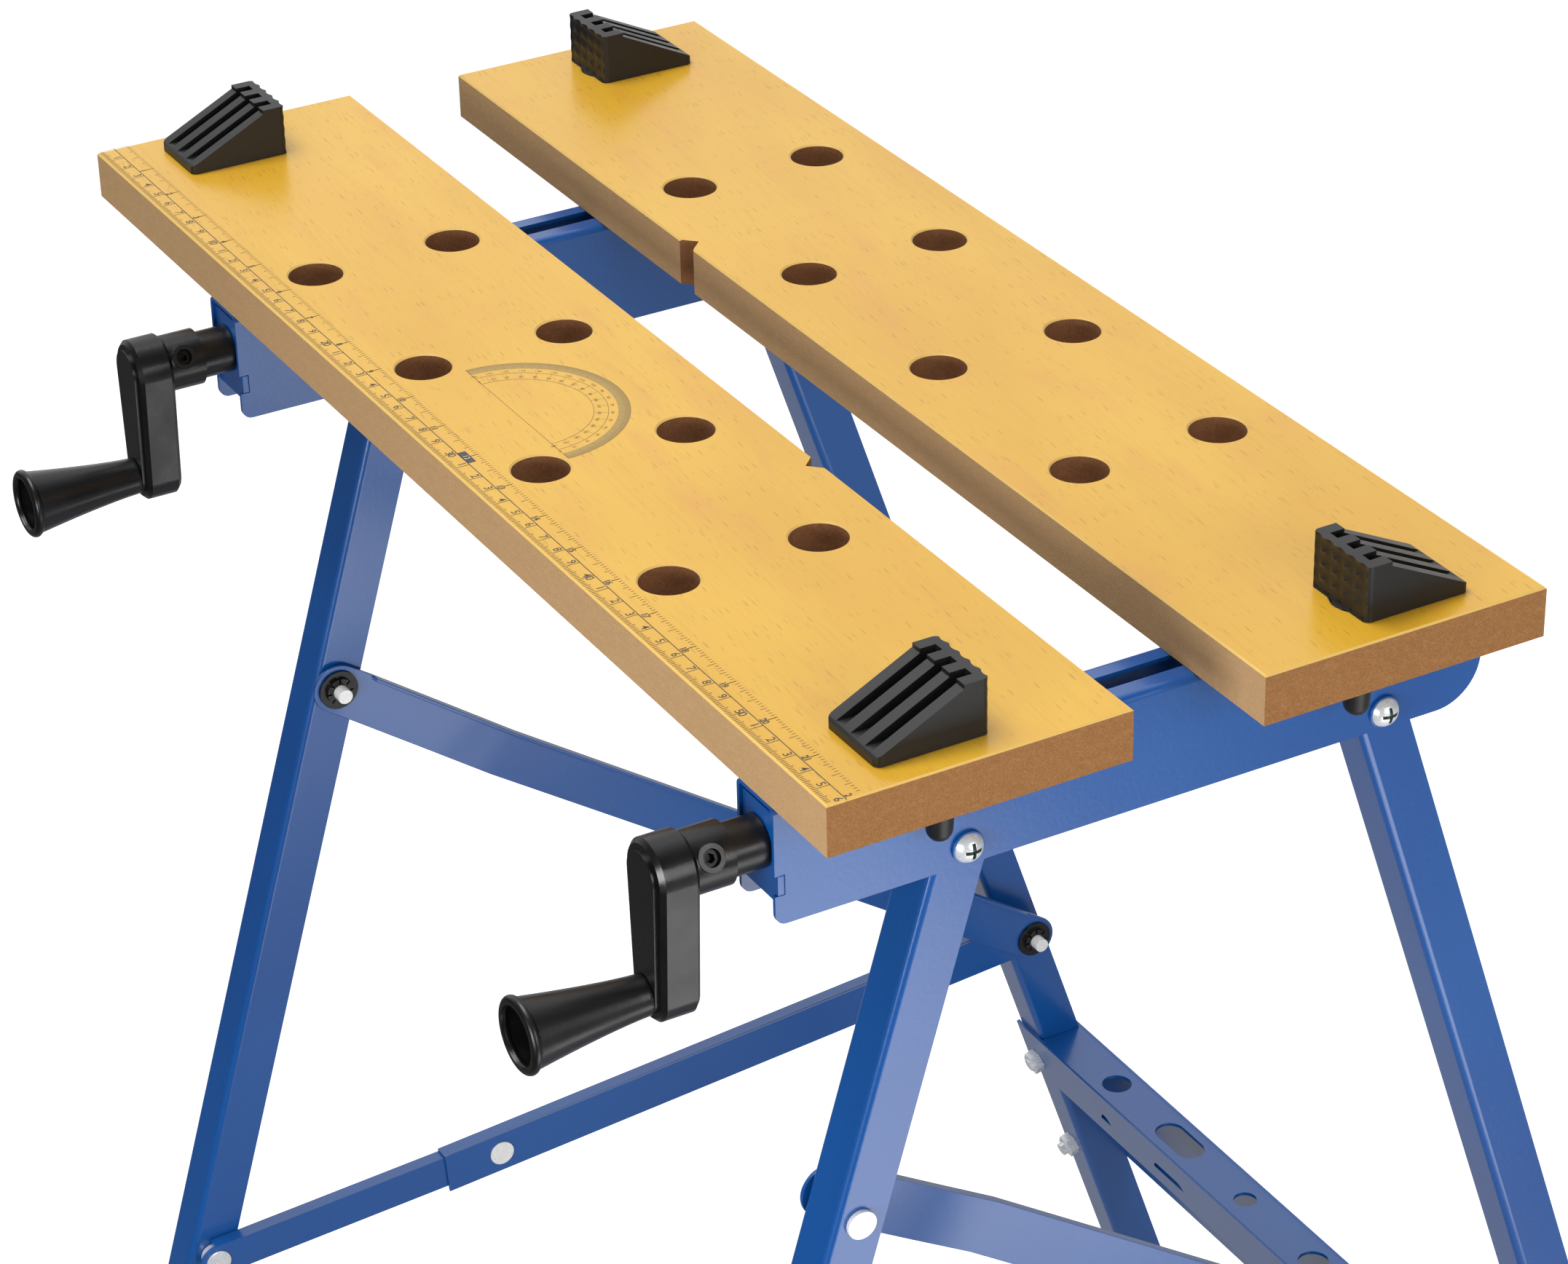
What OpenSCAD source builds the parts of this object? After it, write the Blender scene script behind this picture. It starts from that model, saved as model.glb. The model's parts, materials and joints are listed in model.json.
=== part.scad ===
// Folding workbench with a two-board vice top, two hand cranks, four bench dogs,
// a folding steel frame and a tool rack between the rear legs.
// Millimetres. +Z is up, the floor is z = 0, the cranks point to -Y and the boards run along X.
// The origin is on the floor, under the middle of the whole bench.

/* [Overall] */
// Height of the board tops above the floor
height = 780; // [720:5:840]
// Distance between the centre lines of the two rails
rail_spacing = 400; // [340:5:440]
// How far the frame sits to the right of the middle of the boards
frame_shift = 34; // [0:1:40]

/* [Boards] */
// Length of a jaw board
board_l = 560; // [540:5:640]
// Width of a jaw board, front to back
board_w = 107; // [100:1:114]
// Thickness of a jaw board
board_t = 18; // [16:0.5:22]
// Opening between the two boards as the bench stands
jaw_gap = 45; // [30:1:55]
// How far the rear board sits to the right of the front board
jaw_shift = 4.5; // [0:0.5:8]
// Diameter of a dog hole
dog_hole_d = 20; // [18:0.5:22]
// Distance between dog holes along a row
dog_hole_pitch = 90; // [60:5:100]
// Distance from a board's long edge to the nearer row of dog holes
dog_row_inset = 26; // [22:1:30]
// Distance from a board's end to its end dog hole
dog_end_inset = 25; // [22:1:32]
// Width of the V groove that holds round stock upright
groove_w = 10.4; // [6:0.2:14]
// Distance from a board's end to its V groove
groove_at = 190; // [175:1:200]
// Small chamfer along the boards' upper edges
board_chamfer = 0.6; // [0.2:0.1:1.5]

/* [Rails] */
// Length of a rail, front to back
rail_l = 264; // [262:1:290]
// Outer width of a rail
rail_w = 22.6; // [21.6:0.2:24.6]
// Height of a rail
rail_h = 42; // [41:0.5:46]
// Thickness of the steel sheet of the frame
sheet_t = 1.5; // [1.2:0.1:1.8]
// Radius of the sheet's outer bends
bend_r = 2.6; // [2:0.1:3.4]
// Width of the slot that the carriers slide in
slot_w = 7.6; // [7:0.2:9]
// Thickness of the plates at the rails' ends
end_plate_t = 2.5; // [2:0.1:3]

/* [Legs] */
// Depth of a leg's channel section
leg_d = 18.5; // [17:0.5:19.5]
// Lean of the front legs, feet forwards, in degrees
front_lean = 16.7; // [14:0.1:19]
// Lean of the rear legs, feet backwards, in degrees
rear_lean = 18.5; // [16:0.1:20]
// Distance of the front leg pivots from the front edge
front_pivot_y = 68; // [60:1:75]
// Distance of the rear leg pivots from the front edge
rear_pivot_y = 225.5; // [215:0.5:232]
// Depth of the leg pivots below the rails' top
pivot_drop = 35.3; // [34.8:0.1:37]
// Diameter of the leg pivot bolts
pivot_bolt_d = 6; // [5:0.5:7]
// Outer diameter of the bush that a leg turns on
pivot_bush_d = 10; // [9:0.5:11]
// Wall of the plastic feet
foot_wall = 2.4; // [1.6:0.1:2.8]
// Height of the plastic feet
foot_h = 42; // [30:1:55]

/* [Folding links] */
// Distance along a front leg from its pivot to the diagonal link
link_front_at = 136; // [132:1:146]
// Distance along a rear leg from its pivot to the diagonal link
link_rear_at = 366; // [356:1:376]
// Width of a diagonal link
link_w = 20; // [16:0.5:22]
// Distance along a front leg from its pivot to the folding brace
brace_front_at = 390; // [382:1:396]
// Distance from the rear pivot to the brace's knee
knee_at = 259; // [250:1:262]
// How far the locked knee lies below the straight line
knee_sag = 1.5; // [0:0.5:3]
// How far the rear half of the brace reaches past the knee
knee_overlap = 25; // [16:1:32]
// Height of the brace's front half
brace_h = 14.5; // [13.5:0.5:16]
// Sheet thickness of the folding brace
brace_t = 1.2; // [1:0.1:1.3]
// Diameter of the rivets in the folding links
rivet_d = 6; // [5:0.5:6.5]

/* [Tool rack] */
// Distance from the boards' top down to the rack's shelf
rack_drop = 464; // [452:1:480]
// Height of the rack's back
rack_back_h = 86; // [70:1:100]
// Length of the rack's front lip
rack_lip_h = 29; // [22:1:36]
// Diameter of the rack's round holes
rack_hole_d = 13; // [10:0.5:14]
// Length of the rack's long holes
rack_slot_l = 28; // [22:1:32]
// Distance from the left rail's middle to the rack's first hole
rack_first = 55.4; // [50:0.2:60]
// Distance between neighbouring holes of the rack
rack_pitch = 49.4; // [42:0.2:52]

/* [Vice] */
// Depth of the spindles below the rails' top
spindle_drop = 17.2; // [16.8:0.1:17.8]
// Diameter of the spindles
spindle_d = 10; // [9:0.5:10.5]
// Throw of a crank, spindle to grip
crank_throw = 42; // [36:1:50]
// Thickness of a crank's arm
crank_arm_t = 13.5; // [11:0.5:16]
// Length of a crank's grip
grip_l = 45; // [38:1:60]
// Diameter of a grip at its mouth
grip_d = 25.5; // [22:0.5:30]
// Diameter of a grip at the crank
grip_neck_d = 13.6; // [13:0.2:16]

/* [Bench dogs] */
// Length of a dog, nose to gripping face
dog_l = 39.7; // [36:0.1:44]
// Width of a dog
dog_w = 30; // [27:0.5:33]
// Height of a dog above the board
dog_h = 19.5; // [16:0.5:24]
// Depth of the flat top behind a dog's gripping face
dog_top_l = 9.2; // [8:0.2:12]
// Height of a dog's nose
dog_nose_h = 3.5; // [2.5:0.5:5]

/* [Hidden] */
$fn = 64;
left = -1;
right = 1;
SIDES = [left, right];
// Spare length that a cut runs past the face it opens
cut = 1;

// Clearances
slide_gap = 0.2;    // rear board over the rails, dogs over the boards
leg_gap = 0.3;      // leg inside its rail, carrier inside its rail
running_gap = 0.05; // radial, a pin or shaft that turns in its hole
layer_gap = 0.1;    // between the flat layers of the linkage
open_gap = 0.3;     // between a front leg and the pins that stop short of it

// Colours
beech = "goldenrod";
steel_blue = [0.14, 0.42, 0.66];
zinc = [0.78, 0.79, 0.8];
black = [0.08, 0.08, 0.085];

// Boards, measured from the front board's front edge and down from the board tops
rear_board_y = board_w + jaw_gap;
board_x = [-jaw_shift / 2, jaw_shift / 2];
groove_depth = groove_w / 2;
rail_top_z = -board_t;
rail_bottom_z = rail_top_z - rail_h;
rail_inner_w = rail_w - 2 * sheet_t;
function rail_x(side) = frame_shift + side * rail_spacing / 2;

// Carriers of the rear jaw
carrier_y = rear_board_y + board_w / 2;
carrier_l = 40;
carrier_plate = [24, 52, 2];
neck_l = 24;
neck_w = slot_w - 2 * leg_gap;
jaw_screw_at = 17;
jaw_screw_d = 4;
jaw_screw_head = [6.6, 2];
slot_ahead = 9;
slot_behind = 6;
slot_from = board_w - slot_ahead;
slot_to = rail_l - slot_behind;
spindle_z = rail_top_z - spindle_drop;
carrier_floor = 2.4;
carrier_bottom_z = spindle_z - spindle_d / 2 - carrier_floor;
// The carrier's square corner has to clear the rail's round inner one
rail_inner_r = bend_r - sheet_t;
corner_gap = rail_inner_r - sqrt(leg_gap * (2 * rail_inner_r - leg_gap)) + layer_gap;
carrier_top_gap = max(leg_gap, corner_gap);

// Legs
leg_w = rail_inner_w - 2 * leg_gap;
pivot_z = rail_top_z - pivot_drop;
front_pivot = [front_pivot_y, pivot_z];
rear_pivot = [rear_pivot_y, pivot_z];
front_dir = [-sin(front_lean), -cos(front_lean)];
rear_dir = [sin(rear_lean), -cos(rear_lean)];
front_leg_l = (height + pivot_z) / cos(front_lean);
rear_leg_l = (height + pivot_z) / cos(rear_lean);
foot_half = leg_d / 2 + leg_gap + foot_wall;
foot_sole = 7;
footprint_front = front_pivot_y - (height + pivot_z) * tan(front_lean) - foot_half / cos(front_lean);
footprint_rear = rear_pivot_y + (height + pivot_z) * tan(rear_lean) + foot_half / cos(rear_lean);
footprint_mid = (footprint_front + footprint_rear) / 2;

// Pivots of the folding links
link_front = front_pivot + link_front_at * front_dir;
link_rear = rear_pivot + link_rear_at * rear_dir;
brace_front = front_pivot + brace_front_at * front_dir;
brace_span = link_rear - brace_front;
brace_unit = brace_span / norm(brace_span);
brace_normal = [-brace_unit.y, brace_unit.x];
knee = link_rear - knee_at * brace_unit - knee_sag * brace_normal;

// Layers of the linkage, measured inboard from the legs' inner faces
flange_from = 0.6;
brace_front_web = flange_from + 4.6;
brace_rear_web = brace_front_web + brace_t + layer_gap;
knee_head_t = 1;
link_web = brace_rear_web + brace_t + knee_head_t + open_gap;
link_near = 1;
link_step = [48, 78];
link_lip = 2.5;
cap_d = 16;
cap_t = 2.6;
tip_l = 4.5;
boss_d = rivet_d + 4;
flat_head_d = rivet_d + 4.5;
flat_head_t = 1.8;
// The rear half's upper flange is the stop: locked, it lies on the end of the front half
stop_angle = asin(knee_sag / knee_at) + asin(knee_sag / (norm(brace_span) - knee_at));
stop_rise = knee_overlap * sin(stop_angle);
brace_rear_h = brace_h + 2 * (brace_t + layer_gap + stop_rise);

// Rack: round and long holes in turn, counted from the left rail
rack_at = (rack_drop + pivot_z) / cos(rear_lean);
rack_bolt_inset = 15;
rack_bolt_at = [rack_at + rack_bolt_inset, rack_at + rack_back_h - rack_bolt_inset];
rack_bolt_d = 6;
rack_small_hole_d = rack_hole_d - 3;
rack_last = 40;
rack_hole_count = 1 + floor((rail_spacing - rack_first - rack_last) / rack_pitch);

// Cross bar between the front legs
bar_up = 100;
bar_at = front_leg_l - bar_up;
bar_h = 32;
bar_lip = 10;

// Vice
crank_sleeve = [17.5, 12];
crank_collar = [21, 13];
crank_arm_r = [12, 9.7];
crank_pin_d = 5.8;
crank_pin_turn = 30;
peg_d = 8;
peg_head_d = 9.6;
peg_l = 16;
grip_wall = 2;
arm_from = crank_sleeve[1] + crank_collar[1];
arm_front = arm_from + crank_arm_t;
crank_pin_at = arm_from - 5;
crank_pin_ring_d = crank_pin_d + 3.2;

// Bench dogs
dog_stem_d = dog_hole_d - 0.6;
dog_face_y = 9;
dog_tip_d = [11.4, 8.6];
dog_tip_l = 20;
dog_ribs = 4;
dog_rib_w = dog_w * 0.15;
dog_cell = (dog_w - dog_rib_w) / (dog_ribs - 1);

// Everything below is drawn in bench coordinates: y from the front board's front edge,
// z down from the board tops. This puts it on the floor, under its middle.
module bench() {
    translate([0, -footprint_mid, height]) children();
}

// One side of the frame: local x = 0 is the rail's middle and -x is inboard
module on_side(side) {
    translate([rail_x(side), 0, 0]) mirror([side < 0 ? 1 : 0, 0, 0]) children();
}

// A flat shape drawn in (y, z), thickened from x0 towards +x
module across(x0, t) {
    translate([x0, 0, 0]) rotate([90, 0, 90]) linear_extrude(t) children();
}

// A rod along x from x0, at the point p = (y, z)
module rod(p, x0, l, d) {
    translate([x0, p.x, p.y]) rotate([0, 90, 0]) cylinder(d = d, h = l);
}

// Something drawn along +z, turned to point forwards, to -y, from y0
module forward(y0) {
    translate([0, y0, 0]) rotate([90, 0, 0]) children();
}

module rounded_rect(w, d, r) {
    square([w - 2 * r, d], center = true);
    square([w, d - 2 * r], center = true);
    for (x = [-1, 1], y = [-1, 1])
        translate([x * (w / 2 - r), y * (d / 2 - r)]) circle(r);
}

// Channel section, closed at -y and open at +y
module channel(w, d, t, r) {
    difference() {
        rounded_rect(w, d, r);
        translate([0, t]) rounded_rect(w - 2 * t, d, r - t);
        translate([-w / 2 - cut, d / 2 - r]) square([w + 2 * cut, r + cut]);
    }
    for (x = [-1, 1])
        translate([x * (w - t) / 2, (d - 2 * r) / 2]) square([t, 2 * r], center = true);
}

// Local frame of a strip from p to q: u runs from p to q and v points to its upper side
module along(p, q) {
    translate(p) rotate(atan2(q.y - p.y, q.x - p.x)) children();
}

// A flat bar with round ends
module strip(p, q, w) {
    along(p, q) {
        translate([0, -w / 2]) square([norm(q - p), w]);
        circle(d = w);
        translate([norm(q - p), 0]) circle(d = w);
    }
}

// Outline of a crank arm: a large round end at the origin and a small one below it
module tapered_bar(r1, r2, d) {
    tilt = asin((r1 - r2) / d);
    circle(r1);
    translate([0, -d]) circle(r2);
    polygon([
        [r1 * cos(tilt), -r1 * sin(tilt)],
        [r2 * cos(tilt), -d - r2 * sin(tilt)],
        [-r2 * cos(tilt), -d - r2 * sin(tilt)],
        [-r1 * cos(tilt), -r1 * sin(tilt)]
    ]);
}

module hex_nut(d, h, bore) {
    linear_extrude(h) difference() {
        circle(d = d, $fn = 6);
        circle(d = bore);
    }
}

// Low domed head of a rivet or pan screw, on z = 0
module domed_head(d, h) {
    rise = min(h, d / 2);
    ball_r = (d * d / 4 + rise * rise) / (2 * rise);
    intersection() {
        cylinder(d = d, h = h);
        translate([0, 0, rise - ball_r]) sphere(ball_r);
    }
}

// Head of a machine screw with a cross recess, on z = 0
module screw_head(d, h) {
    difference() {
        domed_head(d, h);
        for (a = [0, 90]) translate([0, 0, h]) rotate(a) cube([0.55 * d, 0.11 * d, h], center = true);
    }
}

// Jaw boards. One board, drawn round its own middle with its outer edge at -y,
// serves as the front jaw and, turned round, as the rear jaw.
module jaw_board(t) {
    rows = [-board_w / 2 + dog_row_inset, board_w / 2 - dog_row_inset];
    holes = concat(
        [for (i = [-1.5:1:1.5], y = rows) [i * dog_hole_pitch, y]],
        [for (s = SIDES) [s * (board_l / 2 - dog_end_inset), 0]]
    );
    difference() {
        translate([-board_l / 2, -board_w / 2, -t]) cube([board_l, board_w, t]);
        for (h = holes) translate(h) {
            translate([0, 0, -t - cut]) cylinder(d = dog_hole_d, h = t + 2 * cut);
            translate([0, 0, -board_chamfer])
                cylinder(d1 = dog_hole_d, d2 = dog_hole_d + 4 * board_chamfer, h = 2 * board_chamfer);
        }
        translate([board_l / 2 - groove_at, board_w / 2, -t - cut]) rotate(45)
            cube([groove_depth * sqrt(2), groove_depth * sqrt(2), 2 * t + 4 * cut], center = true);
        for (y = [-1, 1]) translate([0, y * board_w / 2, 0]) rotate([45, 0, 0])
            cube([board_l + 2 * cut, board_chamfer * sqrt(2), board_chamfer * sqrt(2)], center = true);
        for (x = [-1, 1]) translate([x * board_l / 2, 0, 0]) rotate([0, 45, 0])
            cube([board_chamfer * sqrt(2), board_w + 2 * cut, board_chamfer * sqrt(2)], center = true);
    }
}

// The two screws of a rail at the front board, and the two of a carrier
front_screw_y = [28, 76];
function rear_screw_y(i) = carrier_y + i * jaw_screw_at;
screw_bite = 12;

module front_jaw_board() color(beech) bench() {
    difference() {
        translate([board_x[0], board_w / 2, 0]) jaw_board(board_t);
        for (s = SIDES, y = front_screw_y)
            translate([rail_x(s), y, -board_t - cut])
                cylinder(d = jaw_screw_d + 2 * running_gap, h = screw_bite + cut);
    }
}

module rear_jaw_board() color(beech) bench() {
    t = board_t - slide_gap;
    difference() {
        translate([board_x[1], carrier_y, 0]) rotate(180) jaw_board(t);
        for (s = SIDES) {
            translate([rail_x(s), carrier_y, -t - cut]) linear_extrude(carrier_plate.z + cut)
                rounded_rect(carrier_plate.x + 2 * layer_gap, carrier_plate.y + 2 * layer_gap, 4);
            for (i = [-1, 1]) translate([rail_x(s), rear_screw_y(i), -t])
                cylinder(d = jaw_screw_d + 2 * running_gap, h = screw_bite);
        }
    }
}

// Wood screw pointing up, its head under z = 0
module wood_screw(l) {
    cylinder(d = jaw_screw_d, h = l - 2);
    translate([0, 0, l - 2]) cylinder(d1 = jaw_screw_d, d2 = 1, h = 1.8);
    translate([0, 0, -jaw_screw_head[1]]) cylinder(d = jaw_screw_head[0], h = jaw_screw_head[1]);
}

module front_jaw_screws() color(zinc) bench() {
    for (s = SIDES, y = front_screw_y)
        translate([rail_x(s), y, rail_top_z - sheet_t]) wood_screw(screw_bite + sheet_t - 0.5);
}

module rear_jaw_screws() color(zinc) bench() {
    for (s = SIDES, i = [-1, 1])
        translate([rail_x(s), rear_screw_y(i), -board_t + slide_gap]) wood_screw(screw_bite - 0.5);
}

// Side outline of a rail, with a small corner in front and a large one behind
module rail_outline() {
    front_r = 4;
    rear_r = 17;
    difference() {
        translate([0, rail_bottom_z]) square([rail_l, rail_h]);
        translate([-cut, rail_bottom_z - cut]) square(front_r + cut);
        translate([rail_l - rear_r, rail_bottom_z - cut]) square([rear_r + cut, rear_r + cut]);
    }
    translate([front_r, rail_bottom_z + front_r]) circle(front_r);
    translate([rail_l - rear_r, rail_bottom_z + rear_r]) circle(rear_r);
}

// Tabs of the end plates, which sit in notches of the rail's sides
tab_drop = 24.5;
tab_h = 7;
tab_z = [rail_top_z - tab_drop - tab_h, rail_top_z - tab_drop];
tab_depth = end_plate_t + 1;
plate_below_tab = 3;

module rail() {
    difference() {
        intersection() {
            translate([0, 0, (rail_top_z + rail_bottom_z) / 2]) rotate([-90, 0, 0])
                linear_extrude(rail_l) channel(rail_w, rail_h, sheet_t, bend_r);
            across(-rail_w / 2 - cut, rail_w + 2 * cut) rail_outline();
        }
        translate([0, (slot_from + slot_to) / 2, rail_top_z - sheet_t - cut])
            linear_extrude(sheet_t + 2 * cut) rounded_rect(slot_w, slot_to - slot_from, slot_w / 2 - 0.01);
        for (y = front_screw_y) translate([0, y, rail_top_z - sheet_t - cut])
            cylinder(d = jaw_screw_d + 2 * running_gap, h = sheet_t + 2 * cut);
        for (p = [front_pivot, rear_pivot])
            rod(p, -rail_w / 2 - cut, rail_w + 2 * cut, pivot_bolt_d + 2 * running_gap);
        translate([-rail_w / 2 - cut, -cut, tab_z[0] - layer_gap])
            cube([rail_w + 2 * cut, tab_depth + layer_gap + cut, tab_z[1] - tab_z[0] + 2 * layer_gap]);
    }
}

module rail_left() color(steel_blue) bench() on_side(left) rail();
module rail_right() color(steel_blue) bench() on_side(right) rail();

// End plates: the front ones have a tab at each side, the rear ones are short,
// so that the folded rear legs pass under them
module end_plate(y0, bottom, tabs) {
    w = rail_inner_w - 2 * layer_gap;
    top = rail_top_z - sheet_t - 2;
    difference() {
        union() {
            across(-w / 2, w) translate([y0, bottom]) square([end_plate_t, top - bottom]);
            if (tabs) across(-rail_w / 2, rail_w)
                translate([y0, tab_z[0]]) square([end_plate_t, tab_z[1] - tab_z[0]]);
        }
        translate([0, y0 + end_plate_t + cut, spindle_z]) forward(0)
            cylinder(d = spindle_d + 2 * running_gap, h = end_plate_t + 2 * cut);
    }
}

front_plate_y = tab_depth - end_plate_t;
rear_plate_y = rail_l - 1 - end_plate_t;

module front_end_plates() color(steel_blue) bench() for (s = SIDES) on_side(s)
    end_plate(front_plate_y, tab_z[0] - plate_below_tab, true);
module rear_end_plates() color(steel_blue) bench() for (s = SIDES) on_side(s)
    end_plate(rear_plate_y, carrier_bottom_z, false);

// Carriers: a nut block in the rail, a neck through the slot and a plate let into the board
module jaw_carrier() {
    top = rail_top_z - sheet_t - carrier_top_gap;
    plate_z = rail_top_z + slide_gap;
    w = rail_inner_w - 2 * leg_gap;
    difference() {
        translate([0, carrier_y, 0]) {
            translate([0, 0, carrier_bottom_z]) linear_extrude(top - carrier_bottom_z)
                rounded_rect(w, carrier_l, 3);
            translate([0, 0, top - cut]) linear_extrude(plate_z - top + 2 * cut)
                rounded_rect(neck_w, neck_l, neck_w / 2 - 0.01);
            translate([0, 0, plate_z]) linear_extrude(carrier_plate.z - layer_gap)
                rounded_rect(carrier_plate.x, carrier_plate.y, 4);
        }
        translate([0, carrier_y + carrier_l, spindle_z]) forward(0)
            cylinder(d = spindle_d + 2 * running_gap, h = 2 * carrier_l);
        for (y = [-1, 1]) translate([0, carrier_y + y * carrier_l / 2, spindle_z]) rotate([90, 0, 0])
            cylinder(d = spindle_d + 3, h = 4, center = true);
        for (i = [-1, 1]) translate([0, rear_screw_y(i), plate_z - cut])
            cylinder(d = jaw_screw_d + 2 * running_gap, h = carrier_plate.z + 2 * cut);
        for (i = [-1, 1]) translate([0, rear_screw_y(i), carrier_bottom_z - cut])
            cylinder(d = 3.2, h = 4);
    }
}

module jaw_carrier_left() color(black) bench() on_side(left) jaw_carrier();
module jaw_carrier_right() color(black) bench() on_side(right) jaw_carrier();

// Spindle with the shoulder that bears on the inside of the front end plate
module spindle() {
    rear_end = rail_l - 1.5;
    front_end = -arm_from - 7;
    shoulder_y = front_plate_y + end_plate_t + open_gap;
    translate([0, 0, spindle_z]) {
        forward(rear_end) cylinder(d = spindle_d, h = rear_end - front_end);
        forward(shoulder_y + 3) cylinder(d = spindle_d + 4, h = 3);
        forward(rear_plate_y - open_gap) cylinder(d = spindle_d + 3, h = 3);
    }
}

module spindle_left() color(zinc) bench() on_side(left) spindle();
module spindle_right() color(zinc) bench() on_side(right) spindle();

// Crank: moulded sleeve, collar and arm, with the peg that the grip turns on
crank_gap = 0.5;

module crank() {
    raised = 1.2;
    skirt = 1.5;
    translate([0, 0, spindle_z]) difference() {
        union() {
            forward(-crank_gap + front_plate_y)
                cylinder(d = crank_sleeve[0], h = crank_sleeve[1] - crank_gap + front_plate_y + cut);
            forward(-crank_sleeve[1]) cylinder(d = crank_collar[0], h = crank_collar[1] + cut);
            forward(-arm_from) hull() {
                translate([0, 0, skirt]) linear_extrude(crank_arm_t - 2 * skirt)
                    tapered_bar(crank_arm_r[0], crank_arm_r[1], crank_throw, $fn = 32);
                linear_extrude(crank_arm_t)
                    tapered_bar(crank_arm_r[0] - skirt, crank_arm_r[1] - skirt, crank_throw, $fn = 32);
            }
            forward(-arm_front + cut) linear_extrude(raised + cut)
                tapered_bar(crank_arm_r[0] - 3.5, crank_arm_r[1] - 3, crank_throw);
            translate([0, 0, -crank_throw]) {
                forward(-arm_front) cylinder(d = peg_d, h = peg_l);
                forward(-arm_front - peg_l + cut) cylinder(d1 = peg_head_d, d2 = peg_d - 1, h = 4);
            }
            crank_pin_frame() cylinder(d = crank_pin_ring_d, h = crank_collar[0] / 2 + 0.4);
        }
        forward(cut + front_plate_y)
            cylinder(d = spindle_d + 2 * running_gap, h = arm_from + 8 + cut + front_plate_y);
        crank_pin_frame() cylinder(d = crank_pin_d + 2 * running_gap, h = crank_collar[0]);
    }
}

// Local frame of the set screw: z = 0 is the spindle's axis and +z points out of the collar
module crank_pin_frame() translate([0, -crank_pin_at, 0]) rotate([0, 90 - crank_pin_turn, 0]) children();

// Both cranks are the same moulding, so neither is mirrored
module crank_left() color(black) bench() translate([rail_x(left), 0, 0]) crank();
module crank_right() color(black) bench() translate([rail_x(right), 0, 0]) crank();

// Set screw that holds a crank on its spindle
module crank_pin() {
    translate([0, 0, spindle_z]) crank_pin_frame() translate([0, 0, spindle_d / 2 + running_gap])
        difference() {
            cylinder(d = crank_pin_d, h = (crank_collar[0] - spindle_d) / 2 - 1.2);
            translate([0, 0, 2]) cylinder(d = 3, h = crank_collar[0], $fn = 6);
        }
}

module crank_pin_left() color(zinc) bench() translate([rail_x(left), 0, 0]) crank_pin();
module crank_pin_right() color(zinc) bench() translate([rail_x(right), 0, 0]) crank_pin();

// Trumpet-shaped hollow grip with a rolled lip at its mouth
module grip() {
    from = 1.2 + open_gap;
    lip = 1.6;
    hub_to = peg_l - cut - open_gap;
    flare = function (s) (s - from) / (grip_l - lip - from);
    outer = function (s) grip_neck_d / 2 + (grip_d / 2 - lip / 2 - grip_neck_d / 2) * pow(flare(s), 1.35);
    steps = [for (i = [0:10]) from + (grip_l - lip - from) * i / 10];
    hollow = [for (i = [0:8]) hub_to + (grip_l - hub_to) * (8 - i) / 8];
    translate([0, 0, spindle_z - crank_throw]) forward(-arm_front) rotate_extrude() {
        polygon(concat(
            [[peg_d / 2 + running_gap, from]],
            [for (s = steps) [outer(s), s]],
            [[outer(grip_l - lip) - grip_wall / 2, grip_l]],
            [for (s = hollow) [outer(min(s, grip_l - lip)) - grip_wall, s]],
            [[peg_d / 2 + running_gap, hub_to]]
        ));
        translate([grip_d / 2 - lip, grip_l - lip]) circle(lip);
    }
}

module grip_left() color(black) bench() translate([rail_x(left), 0, 0]) grip();
module grip_right() color(black) bench() translate([rail_x(right), 0, 0]) grip();

// Leg pivots: bolt, washer and nut on the rail, and a bush between its sides
washer = [11.4, 1.2];
nut = [11, 5];
bolt_head = [10.4, 3.6];

module pivots() for (s = SIDES, p = [front_pivot, rear_pivot]) on_side(s) translate([0, p.x, p.y])
    rotate([0, 90, 0]) children();

module leg_pivot_bolts() color(zinc) bench() pivots() {
    translate([0, 0, rail_w / 2 + washer[1]]) screw_head(bolt_head[0], bolt_head[1]);
    translate([0, 0, -rail_w / 2 - nut[1] - 1])
        cylinder(d = pivot_bolt_d, h = rail_w + nut[1] + 1.5 + washer[1]);
}

module leg_pivot_washers() color(steel_blue) bench() pivots() translate([0, 0, rail_w / 2])
    difference() {
        cylinder(d = washer[0], h = washer[1]);
        translate([0, 0, -cut]) cylinder(d = pivot_bolt_d + 2 * running_gap, h = washer[1] + 2 * cut);
    }

module leg_pivot_nuts() color(zinc) bench() pivots() translate([0, 0, -rail_w / 2 - nut[1]])
    hex_nut(nut[0], nut[1], pivot_bolt_d + 2 * running_gap);

module leg_pivot_bushes() color(zinc) bench() pivots() difference() {
    cylinder(d = pivot_bush_d, h = rail_inner_w - 2 * running_gap, center = true);
    cylinder(d = pivot_bolt_d + 2 * running_gap, h = rail_w, center = true);
}

// Legs. Local frame of a leg: origin at its pivot, -z down the leg, the closed face at -y
module leg_frame(pivot, lean) {
    translate([0, pivot.x, pivot.y]) rotate([lean, 0, 0]) children();
}

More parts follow.
